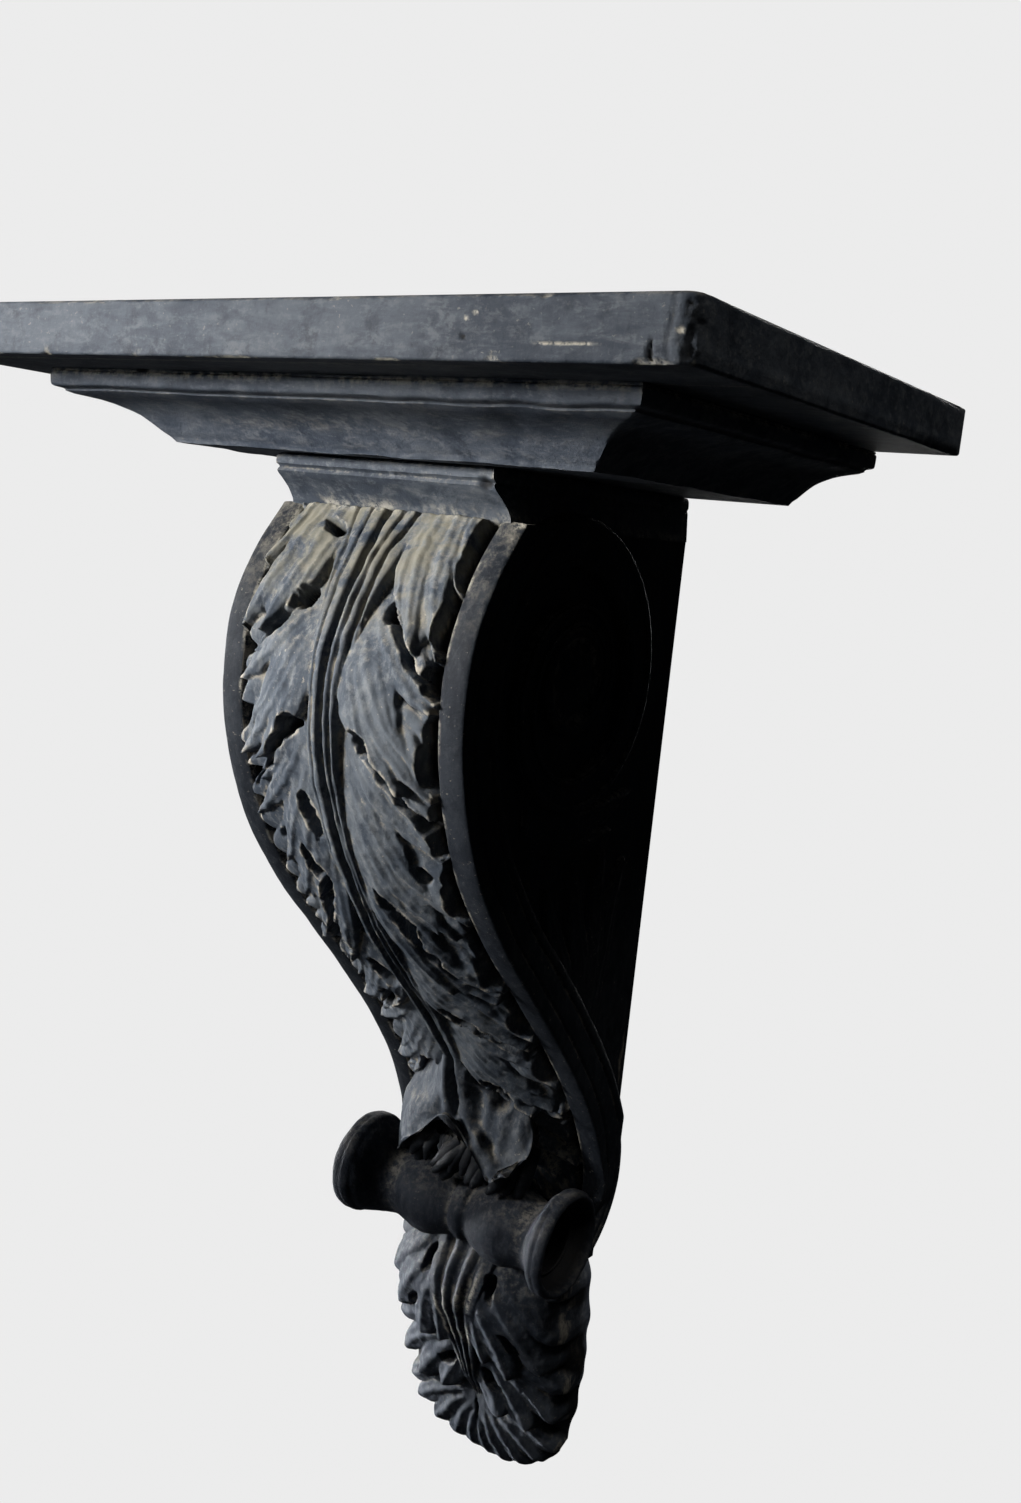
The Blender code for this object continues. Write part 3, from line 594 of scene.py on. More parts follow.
class Sheet:
    """A node tree with plain helpers for adding and joining its nodes."""

    def __init__(self, tree):
        self.tree = tree

    def add(self, kind, settings=None, values=None, output=0):
        """Add a node, set it up, fill or link its sockets and return one output."""
        node = self.tree.nodes.new(kind)
        for key, value in (settings or {}).items():
            setattr(node, key, value)
        for key, value in (values or {}).items():
            if isinstance(value, Socket):
                self.tree.links.new(value.link, node.inputs[key])
            else:
                node.inputs[key].default_value = value
        return Socket(self, node.outputs[output] if node.outputs else None)

    def math(self, kind, *parts):
        """One Math node."""
        return self.add("ShaderNodeMath", {"operation": kind}, dict(enumerate(parts)))


class PaintSheet(Sheet):
    """The node tree of a new material."""

    def __init__(self, name):
        self.material = bpy.data.materials.new(name)
        self.material.use_nodes = True
        super().__init__(self.material.node_tree)
        self.tree.nodes.clear()

    def noise(self, where, size, detail=4.0, rough=0.55, twist=0.0):
        """Noise with features of the given size in millimetres."""
        return self.add("ShaderNodeTexNoise", values={
            "Vector": where, "Scale": MM / size, "Detail": detail, "Roughness": rough, "Distortion": twist,
        })

    def blend(self, share, first, second):
        """Mix two colours by a share."""
        colours = [c if isinstance(c, Socket) else (*c, 1) for c in (first, second)]
        settings = {"data_type": "RGBA", "blend_type": "MIX"}
        return self.add("ShaderNodeMix", settings, {0: share, 6: colours[0], 7: colours[1]}, 2)


def slate_paint(name, look, tint_and_shade, dust, grime_and_shade, top_grime, drawn):
    """Matte slate paint over plaster: cloudy, worn pale on the ridges, dusty in the hollows and darkened
    there with dirt and painted shade.
    """
    sheet = PaintSheet(name)
    place = sheet.add("ShaderNodeTexCoord", output=3)
    ridge, hollow, pit, chip = (
        sheet.add("ShaderNodeAttribute", {"attribute_name": label}, output=2)
        for label in ("ridge", "hollow", "pit", "chip")
    )
    # Each piece's copy of the paint is darkened or lightened as a whole, which paints the shade or light that
    # falls on the piece
    deep_paint, paint, pale_paint = (
        tuple(part * share for part, share in zip(shade, tint_and_shade))
        for shade in (look.deep_paint, look.paint, look.pale_paint)
    )
    drawn_out = sheet.add("ShaderNodeVectorMath", {"operation": "MULTIPLY"}, {0: place, 1: drawn})
    broad = sheet.noise(place, 95, 3, 0.5, 0.4)
    medium = sheet.noise(place, 20, 6, 0.66, 0.3)
    fine = sheet.noise(place, 4.5, 6, 0.72)
    grain = sheet.noise(place, 1.3, 3, 0.6)
    streak = sheet.noise(drawn_out, 6, 5, 0.68, 0.5)
    # Cloudy paint
    tone = (broad * 0.35 + medium * 0.35 + streak * 0.3).between(0.42, 0.58)
    colour = sheet.blend(tone, deep_paint, paint)
    speck = (fine * 0.5 + streak * 0.5).between(0.49, 0.62)
    colour = sheet.blend(speck * 0.5, colour, pale_paint)
    dark = (fine * 0.4 + medium * 0.6).between(0.47, 0.34)
    colour = sheet.blend(dark * 0.45, colour, tuple(part * 0.35 for part in deep_paint))
    # Dirt and painted shade in the hollows, dust in shallow hollows and on what lies flat, then worn ridges
    # and spots
    colour = sheet.blend((hollow.between(0.15, 0.85) * grime_and_shade).limit(), colour, look.grime_and_shade)
    patch = (medium * 0.5 + fine * 0.5).between(0.46, 0.58)
    settled = hollow.between(0.05, 0.28) * (1 - hollow.between(0.36, 0.70)) * patch
    facing = sheet.add("ShaderNodeTexCoord", output=1).upward()
    lying = facing.between(0.15, 0.85) * (fine * 0.6 + medium * 0.4).between(0.44, 0.62)
    worn = (ridge * 0.6 + fine * 0.6 - 0.30 + medium * 0.45).between(0.50, 0.95) * streak.between(0.42, 0.58)
    spots = sheet.noise(place, 2.2, 2, 0.5).between(0.66, 0.73) * medium.between(0.45, 0.58)
    for mask, share, shade in ((settled, 0.65, look.dust), (lying, 0.6, look.dust),
                               (worn, 0.75, look.worn), (spots, 0.35, look.worn)):
        colour = sheet.blend((mask * dust * share).limit(), colour, shade)
    if top_grime > 0:
        band = place.upward().between(0.120, 0.205) * medium.between(0.38, 0.60) * top_grime
        colour = sheet.blend(band.limit(), colour, look.olive)
    # Pits painted near black, which paints the shade in recesses and under the tip besides dark cracks, then
    # bare chips
    colour = sheet.blend((pit * (0.8 + fine * 0.3)).limit(), colour, look.grime_and_shade)
    bare = chip * (fine * 0.7 + grain * 0.3).between(0.40, 0.56)
    colour = sheet.blend(bare.limit(), colour, look.plaster)
    rough = 0.60 + medium * 0.22 + hollow * 0.1
    relief = fine * 0.6 + grain * 0.25 + medium * 1.0
    bump = sheet.add("ShaderNodeBump", values={"Strength": 0.6, "Distance": 0.0013, "Height": relief})
    shader = sheet.add("ShaderNodeBsdfPrincipled", values={
        "Base Color": colour, "Roughness": rough, "Normal": bump, "Specular IOR Level": 0.16,
    })
    sheet.add("ShaderNodeOutputMaterial", values={"Surface": shader})


def paint_for(name):
    """The named finish, made once from the colours in the panel."""
    if name not in bpy.data.materials:
        slate_paint(name, bpy.context.scene.corbel_finish, *PAINTS[name])
    return bpy.data.materials[name]


def plan_path(half, front, corner, step):
    """Plan outline from the wall round both front corners to the wall: places and outward directions."""
    run = front - corner
    flat = half - corner
    sides = int(run / step)
    side = np.arange(sides) / sides
    middles = int(2 * flat / step)
    middle = np.arange(1, middles) / middles
    turn = np.linspace(0, math.pi / 2, 18)
    first = turn + math.pi
    second = turn - math.pi / 2
    x = (0 * side - half, corner * np.cos(first) - flat, 2 * flat * middle - flat,
         corner * np.cos(second) + flat, 0 * side + half)
    y = (-run * side, corner * np.sin(first) - run, 0 * middle - front,
         corner * np.sin(second) - run, run * np.arange(1, sides + 1) / sides - run)
    out_x = (0 * side - 1, np.cos(first), 0 * middle, np.cos(second), 0 * side + 1)
    out_y = (0 * side, np.sin(first), 0 * middle - 1, np.sin(second), 0 * side)
    x, y, out_x, out_y = (np.concatenate(parts) for parts in (x, y, out_x, out_y))
    return np.stack((x, y), axis=-1), np.stack((out_x, out_y), axis=-1)


def make_board(sizes):
    """The board: eased edges, a slightly uneven face, and chips where the photo shows them."""
    half = sizes.width * MM / 2
    front = sizes.depth * MM
    thick = sizes.board_thickness * MM
    places, outward = plan_path(half, front, 9, 1.15)
    section = [(-4.2, 0), (-3.2, 0)]
    section += [(2 * math.sin(a) - 2, 2 - 2 * math.cos(a)) for a in np.linspace(0.1, math.pi / 2, 5)]
    section += [(0, d) for d in np.linspace(3, thick - 2.6, 24)]
    section += [(1.6 * math.cos(a) - 1.6, thick - 1.6 + 1.6 * math.sin(a))
                for a in np.linspace(0, math.pi / 2 - 0.1, 5)]
    section += [(-3.2, thick), (-4.2, thick)]
    push, depth = np.array(section).T[..., None]
    depth = np.repeat(depth, len(places), axis=1)
    flat = places[None] + outward[None] * push[..., None]
    grid = np.concatenate((flat, top_z(depth)[..., None]), axis=2)
    across = grid[..., 0]
    away = -grid[..., 1]
    # Uneven face, bitten edges, the broken right corner, a crease beside it and a soft lip
    edge = bell(depth, thick, 2.6)
    upper = bell(depth, 0, 2.2)
    bite = np.maximum(cloud(grid, 5, 13) * 0.6 + cloud(grid, 17, 14) * 0.7 - 0.50, 0) * 3 * edge
    bite = bite + np.maximum(cloud(grid, 9, 15) * 0.7 + cloud(grid, 26, 16) * 0.7 - 0.60, 0) * 2.2 * upper
    near_corner = bell(across, half, 8) * bell(away, front, 8)
    ragged = near_corner * np.maximum(cloud(grid, 6, 17) * 0.8 + cloud(grid, 2.4, 19) * 0.5 + 0.1, 0) * 1.9
    crease = bell(across, half - 11.5 + 0.8 * np.sin(depth / 4), 0.9) * (away > front - 5)
    lip = bell(depth, 21.5 + 1.6 * np.sin(across / 37), 2.4)
    lump = cloud(grid, 60, 11) * 0.7 + cloud(grid, 17, 12) * 0.4 + cloud(grid, 5, 18) * 0.14
    lump = lump - 0.7 * crease + 0.35 * lip
    pale = np.clip(bite * 1.1, 0, 1) * 0.75
    dark = ragged * 0.35 + 0.3 * crease
    forward = ramp(away, front - 3, front - 1)
    rough_edge = 0.45 * cloud(grid, 3.4, 20) - 0.1
    for place, low, long, tall, deep, tone in MARKS:
        gap = np.hypot((across - place) / long, (depth - low) / tall) + rough_edge
        mark = (1 - ramp(gap, 0.55, 1.1)) * forward
        bite = bite + deep * mark
        pale = np.maximum(pale, mark * max(tone, 0))
        dark = np.maximum(dark, mark * max(-tone, 0))
    worn_end = ramp(away, 120, 0) * ramp(across, half - 8, half - 2) * (edge + upper)
    inset = (np.abs(push) < 2.5) * (lump - bite - ragged - 1.6 * worn_end - 0.3) * ramp(away, 0, 3)
    grid[..., :2] += outward[None] * inset[..., None]
    sunk = 0.7 + 0.7 * cloud(grid, 45, 22) + 0.4 * cloud(grid, 12, 23)
    grid[..., 2] -= upper * sunk * np.clip(push + 3.2, 0, 1)
    made = grid_object("board", grid, wrap=False)
    mark_wear(made, 8, 2.4)
    stain(made, chip=pale, pit=dark)
    return made


def three_sides(half, front, depth, side_count, front_count):
    """Outline of a course at one depth: left side, front and right side."""
    side = np.linspace(0, 1, side_count)
    middle = np.linspace(0, 1, front_count)[:-1]
    x = np.concatenate((0 * side[1:] - half, 2 * half * middle - half, 0 * side + half))
    y = np.concatenate((-front * side[:-1], 0 * middle - front, -front * (1 - side)))
    return np.stack((x, y, np.full(x.shape, top_z(depth))), axis=-1)


def make_bed(sizes):
    """The moulded course under the board, mitred at the front corners."""
    half = sizes.width * MM / 2
    front = sizes.depth * MM
    rows = [three_sides(half - inset, front - inset, depth, 100, 220) for inset, depth in BED_PROFILE]
    grid = np.array(rows)
    low = np.array(BED_PROFILE)[:, 1:]
    grid[..., 2] += 0.5 * cloud(grid, 26, 21) * (low > 31)
    made = grid_object("bed_course", grid)
    roughen(made, (45, 0.7, 45), (15, 0.35, 46), (5, 0.12, 47))
    mark_wear(made, 6, 2)
    plaster = 0.9 * ramp(low, 28.8, 29.6) * (1 - ramp(low, 30.6, 31.4))
    plaster = plaster * ramp(cloud(grid, 11, 24) + 0.7 * cloud(grid, 3.5, 25), -0.4, 0.2)
    # Dark cracks along the joint under the board, and a painted shadow line under the fillet, all round the
    # moulding
    crack_and_shadow_line = (1 - ramp(low, 29.6, 30.2)) * ramp(cloud(grid, 21, 26) + 0.5 * cloud(grid, 4, 27), 0.55, 0.9)
    crack_and_shadow_line = np.maximum(crack_and_shadow_line, 0.6 * bell(low, 39.2, 0.6))
    stain(made, chip=plaster * (1 - crack_and_shadow_line), pit=crack_and_shadow_line)
    return made


def make_neck():
    """The small moulded neck between the bed moulding and the scroll."""
    grid = np.array([three_sides(half, front, depth, 70, 90) for depth, front, half in NECK_PROFILE])
    across = grid[..., 0]
    depth = top_z(grid[..., 2])
    blister = 1.7 * bell(across, 11, 2.6) * bell(depth, 71.4, 2)
    gap = np.hypot((across - 73) / 5, (depth - 73.5) / 3.4)
    broken = 1 - ramp(gap + 0.4 * cloud(grid, 3, 28), 0.5, 1.1)
    grid[..., 1] -= (blister - 2.2 * broken) * ramp(-grid[..., 1], 200, 215)
    grid[..., 1] = np.minimum(grid[..., 1], np.where(depth > 94, -3, 0))
    made = grid_object("neck", grid)
    roughen(made, (14, 0.4, 31), (5, 0.22, 35))
    mark_wear(made, 5, 2.5)
    dust = ramp(depth, 85, 91) * ramp(cloud(grid, 12, 29) + 0.8 * cloud(grid, 3.5, 30), -0.3, 0.5) * 0.5
    stain(made, chip=dust, pit=broken)
    return made


def make_scroll(leaf):
    """The scroll's body with its smooth rims and the raised band on each side."""
    d, f, _, out_f, out_d = (v[:, None] for v in rim_line(330))
    inner, outer, panel, band = (v * MM for v in (leaf.rim_inner, leaf.rim_outer, leaf.panel, leaf.band))
    # Across the front: from the middle, and height over the rim line
    front_x = np.array([0, -8, -3.4, -0.5, 0, 0.7, 2.5, 5, 8, 11, -4, -2, -0.8])
    front_x += np.array([0] + [inner] * 9 + [outer] * 3)
    front_h = np.array([-10, -10, -9.6, -1.2, -0.3, 0.2, 0.5, 0.8, 0.9, 0.8, 0.5, 0.2, -0.3])
    # Back along the side: steps from the rim line, and height of the band over the panel
    steps = np.array([1, 2.4, 5, 8.6, 9.4, 10.2, 11.2, 12, 12.8, 18, 23, 24.4, 25.2, 26, 27, 27.8, 29, 31,
                      32.6, band, band + 0.8]) * band / 33
    rises = np.array([-0.2, 0, 0, 0, -0.5, -1.4, -1.4, -0.5, -0.1, 0.3, -0.1, -0.5, -1.6, -1.6, -0.4, 0, 0.4,
                      0.2, -0.6, -2.4, panel - outer]) + outer - panel
    rest = np.array([0.92, 0.8, 0.66, 0.52, 0.38, 0.25, 0.12, 0.04, 0])
    # Towards the foot the band gets shorter, sinks into the panel and narrows
    scale = np.minimum(1, (f - 4) / 44) / np.maximum(out_f, 0.66)
    narrow = 7 * ramp(d, 562, 600)
    fade = 1 - 0.92 * ramp(d, 536, 574)
    behind = f - (band + 0.8) * scale
    x = np.concatenate((
        np.minimum(front_x, panel + (outer - panel) * fade - narrow), panel + rises * fade - narrow,
        panel - narrow + 0 * rest,
    ), axis=1)
    front = np.concatenate((f + out_f * front_h, f - steps * scale, behind * rest), axis=1)
    depth = np.concatenate((d + out_d * front_h, d + 0 * steps, d + 0 * rest), axis=1)
    right = np.stack((x, -front, top_z(depth)), axis=-1)
    left = (right * (-1, 1, 1))[:, :0:-1]
    return grid_object("scroll_body", np.concatenate((left, right), axis=1))


def with_back(values):
    """A face's values, with 0 for the two points that close each row at the back."""
    return np.pad(values, ((0, 0), (0, 2)))


def make_leaf(leaf):
    """The acanthus leaf on the front, carved as one height map over the scroll's face."""
    inner = leaf.rim_inner * MM
    rim = rim_line(leaf.rows)
    d, f, s, out_f, out_d = (v[rim[2] < LEAF_LENGTH] for v in rim)
    across, down = np.meshgrid(np.linspace(-inner, inner, leaf.columns), s)
    height = leaf_front(across, down, -leaf.carving_depth * MM, inner + 0.2) * ramp(down, -1, 3)
    front = f[:, None] + out_f[:, None] * height
    depth = d[:, None] + out_d[:, None] * height
    face = np.stack((across, -front, top_z(depth)), axis=-1)
    ends = np.repeat([[inner, -inner]], len(s), axis=0)
    back = np.stack((ends, -pair(f - LEAF_BACK * out_f), top_z(pair(d - LEAF_BACK * out_d))), axis=-1)
    made = grid_object("front_leaf", np.concatenate((face, back), axis=1))
    roughen(made, (18, 0.5, 41), (8, 0.45, 43), (3.4, 0.17, 42))
    mark_wear(made, 16, 2.8)
    # The ground under the lobes, the slots, clefts and eyes, and the stem's middle groove are painted dark:
    # painted shade in the recesses, besides dirt
    groove = 0.8 * bell(across, 0.8, 1.3) * ramp(down, 20, 80) * (1 - ramp(down, 460, 500))
    deep = np.maximum(ramp(-height, 0.5, 5.5), groove)
    pale_dust_and_light = 0.5 * (1 - ramp(down, 2, 9)) * ramp(cloud(face, 10, 44), -0.5, 0.3) * ramp(height, 0, 3)
    # Pale dust low on the right beside the turned-over tip, which also paints light on a patch that lies in
    # the tip's shadow
    low_dust_and_light = ramp(down, 478, 500) * ramp(across, 24, 44)
    low_dust_and_light = low_dust_and_light * ramp(cloud(face, 6, 48) + 0.6 * cloud(face, 15, 49), -0.3, 0.4)
    pale_dust_and_light = np.maximum(pale_dust_and_light, 0.85 * low_dust_and_light * ramp(height, -6, -1))
    stain(made, pit=with_back(deep), chip=with_back(pale_dust_and_light))
    return made


def fine_profile(points, step):
    """A turned profile cut into short steps: places along the axis, and radii."""
    fine = []
    for (x0, r0), (x1, r1) in zip(points[:-1], points[1:]):
        parts = max(1, int(math.hypot(x1 - x0, r1 - r0) / step))
        fine += [(x0 + (x1 - x0) * k / parts, r0 + (r1 - r0) * k / parts) for k in range(parts)]
    return np.array(fine + [points[-1]]).T[..., None]


def full_turn(count):
    """Even angles round a circle."""
    return np.linspace(0, 2 * math.pi, count, endpoint=False)


def make_roll():
    """The waisted bar across the foot, with an end disc on each side and a tie in the middle."""
    mirrored = tuple((-x, r) for x, r in reversed(ROLL_PROFILE[1:]))
    x, radius = fine_profile(mirrored + ROLL_PROFILE, 2.2)
    turns = full_turn(120)
    share = ramp(np.abs(x), 60, 80)
    front, depth = (bar + (disc - bar) * share for bar, disc in zip(BAR_CENTRE, DISC_CENTRE))
    y = -(front + radius * np.cos(turns))
    made = grid_object("roll", np.stack((x + 0 * turns, y, top_z(depth + radius * np.sin(turns))), axis=-1))
    roughen(made, (16, 0.7, 61), (6, 0.35, 62), (3, 0.15, 63))
    mark_wear(made, 8, 4.5)
    # The recess inside each end disc is painted near black: painted shade in the recess
    order = np.arange(len(x))[:, None]
    inside = (order > np.argmax(x)) | (order < np.argmin(x))
    deep = 0.98 * inside * (1 - ramp(radius, 30.6, 32.2)) * (1 - 0.35 * bell(radius, 24, 0.8))
    stain(made, pit=deep + 0 * turns)
    return made


def make_tip():
    """The leaf's end, flaring out like a lip above the roll."""
    count = 150
    front, depth, half, thick = (column[:, None] for column in spread(TIP_LINE, count))
    out_f, out_d = (v[:, None] for v in normals(front[:, 0], depth[:, 0]))
    across, down = np.meshgrid(np.linspace(-1, 1, 141), np.linspace(0, 1, count))
    x = across * half * np.where(across > 0, 1.08, 1 + 0.16 * down)
    wide = np.abs(x)
    level = depth + 0 * x
    # Raised folds beside the middle groove, on the right
    crest = 4.5 + 5 * down + 30 * ramp(down, 0.5, 1.05)
    lift = 4.2 * bell(wide, crest, 4.5 + 4 * down) - 6 * bell(x, 0, 2) * (1 - ramp(down, 0.3, 0.8))
    lift = lift - 3.5 * bell(wide, crest + 9, 4.5) * ramp(down, 0.1, 0.4) * (1 - ramp(down, 0.7, 0.95))
    lift = lift + 1.3 * np.cos(wide * 0.52 + 1.6 * down) * ramp(wide, 10, 22) * down
    lift = lift * ramp(x, -14, -4)
    # The broad fold on the left, and an eye with a raised upper edge on the right
    away, _ = nearest(x, level, ((-3, 436), (-8, 470), (-20, 492), (-44, 512)))
    lift = lift + 7.5 * bell(away, 0, 11) * ramp(down, 0.05, 0.3)
    eye, _ = nearest(x, level, ((18, 458), (24, 466), (31, 477)))
    upper = 0.2 + 0.8 * ramp(490 - level - x, -6, 8)
    lift = lift - 9.5 * bell(eye, 0, 4.8) + 3 * upper * bell(eye, 8, 2.4)
    # The lip hangs in teeth, with a notch in the middle
    sag = (9 + 5 * down) * across ** 2 + 3 * np.abs(across) ** 6
    tooth = 25 * bell(wide, 33, 10) + 12 * bell(wide, 45, 4)
    left_tooth = 29 * (wide / 50) ** 1.4 + np.sin(wide / 3.5) * ramp(wide, 6, 14)
    tooth = np.where(x < 0, left_tooth, tooth) - 20 * bell(x, 0, np.where(x < 0, 21, 13))
    drop = tooth * ramp(down, 0.55, 1) ** 1.5
    top_f = front - sag + out_f * lift - 0.25 * drop
    top_d = depth + out_d * lift + drop
    body = thick * (1 - 0.55 * across ** 2)
    under_f = top_f - np.maximum(out_f, 0.5) * body
    above = np.stack((x, -top_f, top_z(top_d)), axis=-1)
    below = np.stack((x * 0.97, -under_f, top_z(top_d - 0.2 * body)), axis=-1)[:, ::-1]
    made = grid_object("curled_tip", np.concatenate((above, below), axis=1))
    roughen(made, (12, 0.6, 51), (5, 0.4, 54), (2.6, 0.2, 55))
    mark_wear(made, 10, 2.4)
    # The eye and the whole underside of the lip are painted near black: painted shade where the lip hangs
    # over the fingers and the roll
    stain(made, pit=np.concatenate((0.98 * bell(eye, 0, 5), 0.85 + 0 * eye), axis=1))
    return made


def make_pendant():
    """The leaf that hangs from the roll, its rounded lobes in overlapping tiers."""
    depth = np.concatenate((np.linspace(588, 770, 250), np.linspace(770.6, 793, 46)))
    half = smooth(PENDANT_LINE, depth, 1)
    front = smooth(PENDANT_LINE, depth, 2)[:, None]
    depth = depth - 1.5 * ramp(depth, 700, 793)
    for _, _, tip, *_ in PENDANT_LOBES:
        if tip[0] > 58:
            half = half + 2.4 * bell(depth, tip[1] - 6, 10) * (1 - ramp(depth, 762, 780))
    half = half - 1.2
    across, down = np.meshgrid(np.linspace(-1, 1, 231), depth)
    x = across * half[:, None]
    spot = np.stack((x, down, np.zeros(x.shape)), axis=-1)
    side = np.abs(x) + 1.6 * cloud(spot, 22, 95) + 0.7 * cloud(spot, 7, 96)
    along = down + 1.8 * cloud(spot, 24, 97) + 0.7 * cloud(spot, 6, 98) + np.where(x < 0, 3, 0)
    relief = np.full(x.shape, -5.0)
    for root, bend, tip, width, low, high in PENDANT_LOBES:
        levels = (low, 0.5 * (low + high), high)
        lay_leaflet(relief, side, along, bend_line(root, bend, tip), width, levels, 5, 0.5, 3.4, 0.25, 0.4, 8)
    stem_width = 4 + 21 * (1 - ramp(down, 592, 742))
    p = np.abs(x + 2.2 * np.sin((down - 600) / 42)) / stem_width
    stem = 9 - 2 * p ** 2 - 3.8 * bell(p, 0, 0.14) - 4 * bell(p, 0.50, 0.12)
    stem = stem - 2.6 * np.maximum(p - 1, 0) * stem_width - 11 * ramp(down, 708, 745)
    relief = soft_max(relief, stem, 0.7)
    for eye in PENDANT_EYES:
        carve_eye(relief, side, along, eye, -7)
    body = front * (0.36 + 0.64 * np.sqrt(np.clip(1 - np.abs(across) ** 2.6, 0, 1)))
    out = np.maximum(body - 6.5 + relief * np.clip(front / 20, 0.25, 1), 2)
    face = np.stack((x, -out, top_z(down)), axis=-1)
    ends = np.stack((half, -half), axis=1) * 0.985
    back = np.stack((ends, pair(np.where(depth < 604, -3, 0)), top_z(pair(depth))), axis=-1)
    made = grid_object("hanging_leaf", np.concatenate((face, back), axis=1))
    roughen(made, (14, 0.7, 71), (6, 0.5, 72), (3, 0.25, 73))
    mark_wear(made, 14, 2.6)
    line = (bell(p, 0.31, 0.09) + bell(p, 0.74, 0.08)) * (relief - stem < 0.8)
    line = line * ramp(cloud(face, 16, 74), -0.5, 0.2) * 0.55
    # The hollows between the lobes are painted dark: painted shade in the recesses
    stain(made, chip=with_back(line), pit=with_back(0.9 * ramp(-relief, -1.5, 4.5)))
    return made


class GrowPlan(Sheet):
    """A geometry node tree with named inputs, each with its default; None stands for a material."""

    def __init__(self, name, inputs):
        super().__init__(bpy.data.node_groups.new(name, "GeometryNodeTree"))
        self.keys = {}
        for label, default in inputs.items():
            kind = {int: "NodeSocketInt", float: "NodeSocketFloat"}.get(type(default), "NodeSocketMaterial")
            made = self.tree.interface.new_socket(label, in_out="INPUT", socket_type=kind)
            if default is not None:
                made.default_value = default
            self.keys[label] = made.identifier
        self.tree.interface.new_socket("Geometry", in_out="OUTPUT", socket_type="NodeSocketGeometry")
        self.start = self.tree.nodes.new("NodeGroupInput")

    def __getitem__(self, label):
        """One of the tree's own inputs."""
        return Socket(self, self.start.outputs[label])

    def grow(self, kind, **values):
        """One geometry node, its sockets named with underscores for spaces."""
        named = {key.replace("_", " "): value for key, value in values.items()}
        return self.add("GeometryNode" + kind, values=named)

    def xyz(self, x, y, z):
        """A vector from three numbers."""
        return self.add("ShaderNodeCombineXYZ", values={0: x, 1: y, 2: z})

    def spots(self, count, place):
        """A line of points, each moved to its place."""
        return self.grow("SetPosition", Geometry=self.grow("MeshLine", Count=count), Position=place)

    def sweep(self, count, place, profile, size):
        """A closed band: a profile swept along a line of points."""
        curve = self.grow("MeshToCurve", Mesh=self.spots(count, place))
        return self.grow("CurveToMesh", Curve=curve, Profile_Curve=profile, Scale=size, Fill_Caps=True)

    def random(self, low, high):
        """A random number for each point, from the tree's seed."""
        values = {2: low, 3: high, "Seed": self["Seed"]}
        return self.add("FunctionNodeRandomValue", {"data_type": "FLOAT"}, values, 1)

    def finish(self, geometry):
        """Close the tree with Realize Instances and Set Material."""
        real = self.grow("RealizeInstances", Geometry=geometry)
        painted = self.grow("SetMaterial", Geometry=real, Material=self["Material"])
        self.add("NodeGroupOutput", values={0: painted})
        return self


def grown(name, plan, values):
    """Run a geometry node tree on an empty mesh and keep its result as a plain mesh."""
    seed = link_mesh(name + "_seed", bpy.data.meshes.new(name + "_seed"))
    step = seed.modifiers.new("grow", "NODES")
    step.node_group = plan.tree
    for label, value in values.items():
        step[plan.keys[label]] = value
    graph = bpy.context.evaluated_depsgraph_get()
    mesh = bpy.data.meshes.new_from_object(seed.evaluated_get(graph))
    mesh.name = name
    bpy.data.objects.remove(seed, do_unlink=True)
    return link_mesh(name, mesh)


def volute_plan():
    """Tree for a band that winds inwards on the side of the scroll, with a bead along both edges."""
    plan = GrowPlan("wound band", {
        "Steps": 160, "Radius": 0.111, "Tightening": 0.1375, "Start Angle": 2.35, "Turn": 9.2, "Face": 0.089,
        "Side": 1.0, "Centre Y": -0.137, "Centre Z": 0.105, "Eye Y": -0.128, "Eye Z": 0.12, "Width": 0.27,
        "Material": None,
    })
    share = plan.grow("InputIndex") / (plan["Steps"] - 1.0)
    turned = share * plan["Turn"]
    angle = plan["Start Angle"] - turned
    wound = plan.math("MAXIMUM", turned - 0.66, 0.0)
    shrink = plan.math("EXPONENT", wound * (plan["Tightening"] * -1.0))
    ease = plan.math("MINIMUM", share * 1.25, 1.0)
    width = plan["Width"]
    box = plan.add("GeometryNodeCurvePrimitiveQuadrilateral", values={
        "Width": 0.012, "Height": plan["Radius"] * width,
    })
    rounded = plan.grow("FilletCurve", Curve=box, Radius=0.0016)
    profiles = [plan.grow("ResampleCurve", Curve=rounded, Count=44)]
    profiles += [plan.grow("CurvePrimitiveCircle", Resolution=12, Radius=size) for size in (0.0030, 0.0024)]
    joined = plan.tree.nodes.new("GeometryNodeJoinGeometry")
    for profile, inset, offset in zip(profiles, (0.5, 0.10, 0.90), (-0.0062, -0.0014, -0.0012)):
        radius = plan["Radius"] * shrink * (1.0 - width * inset)
        y, z = (
            plan.math("MULTIPLY_ADD", plan.math(way, angle), radius, plan.math(
                "MULTIPLY_ADD", plan["Eye " + axis] - plan["Centre " + axis], ease, plan["Centre " + axis]))
            for way, axis in (("COSINE", "Y"), ("SINE", "Z"))
        )
        place = plan.xyz((plan["Face"] + offset) * plan["Side"], y, z)
        band = plan.sweep(plan["Steps"], place, profile, plan.math("POWER", shrink, 0.9))
        plan.tree.links.new(band.link, joined.inputs[0])
    return plan.finish(Socket(plan, joined.outputs[0]))


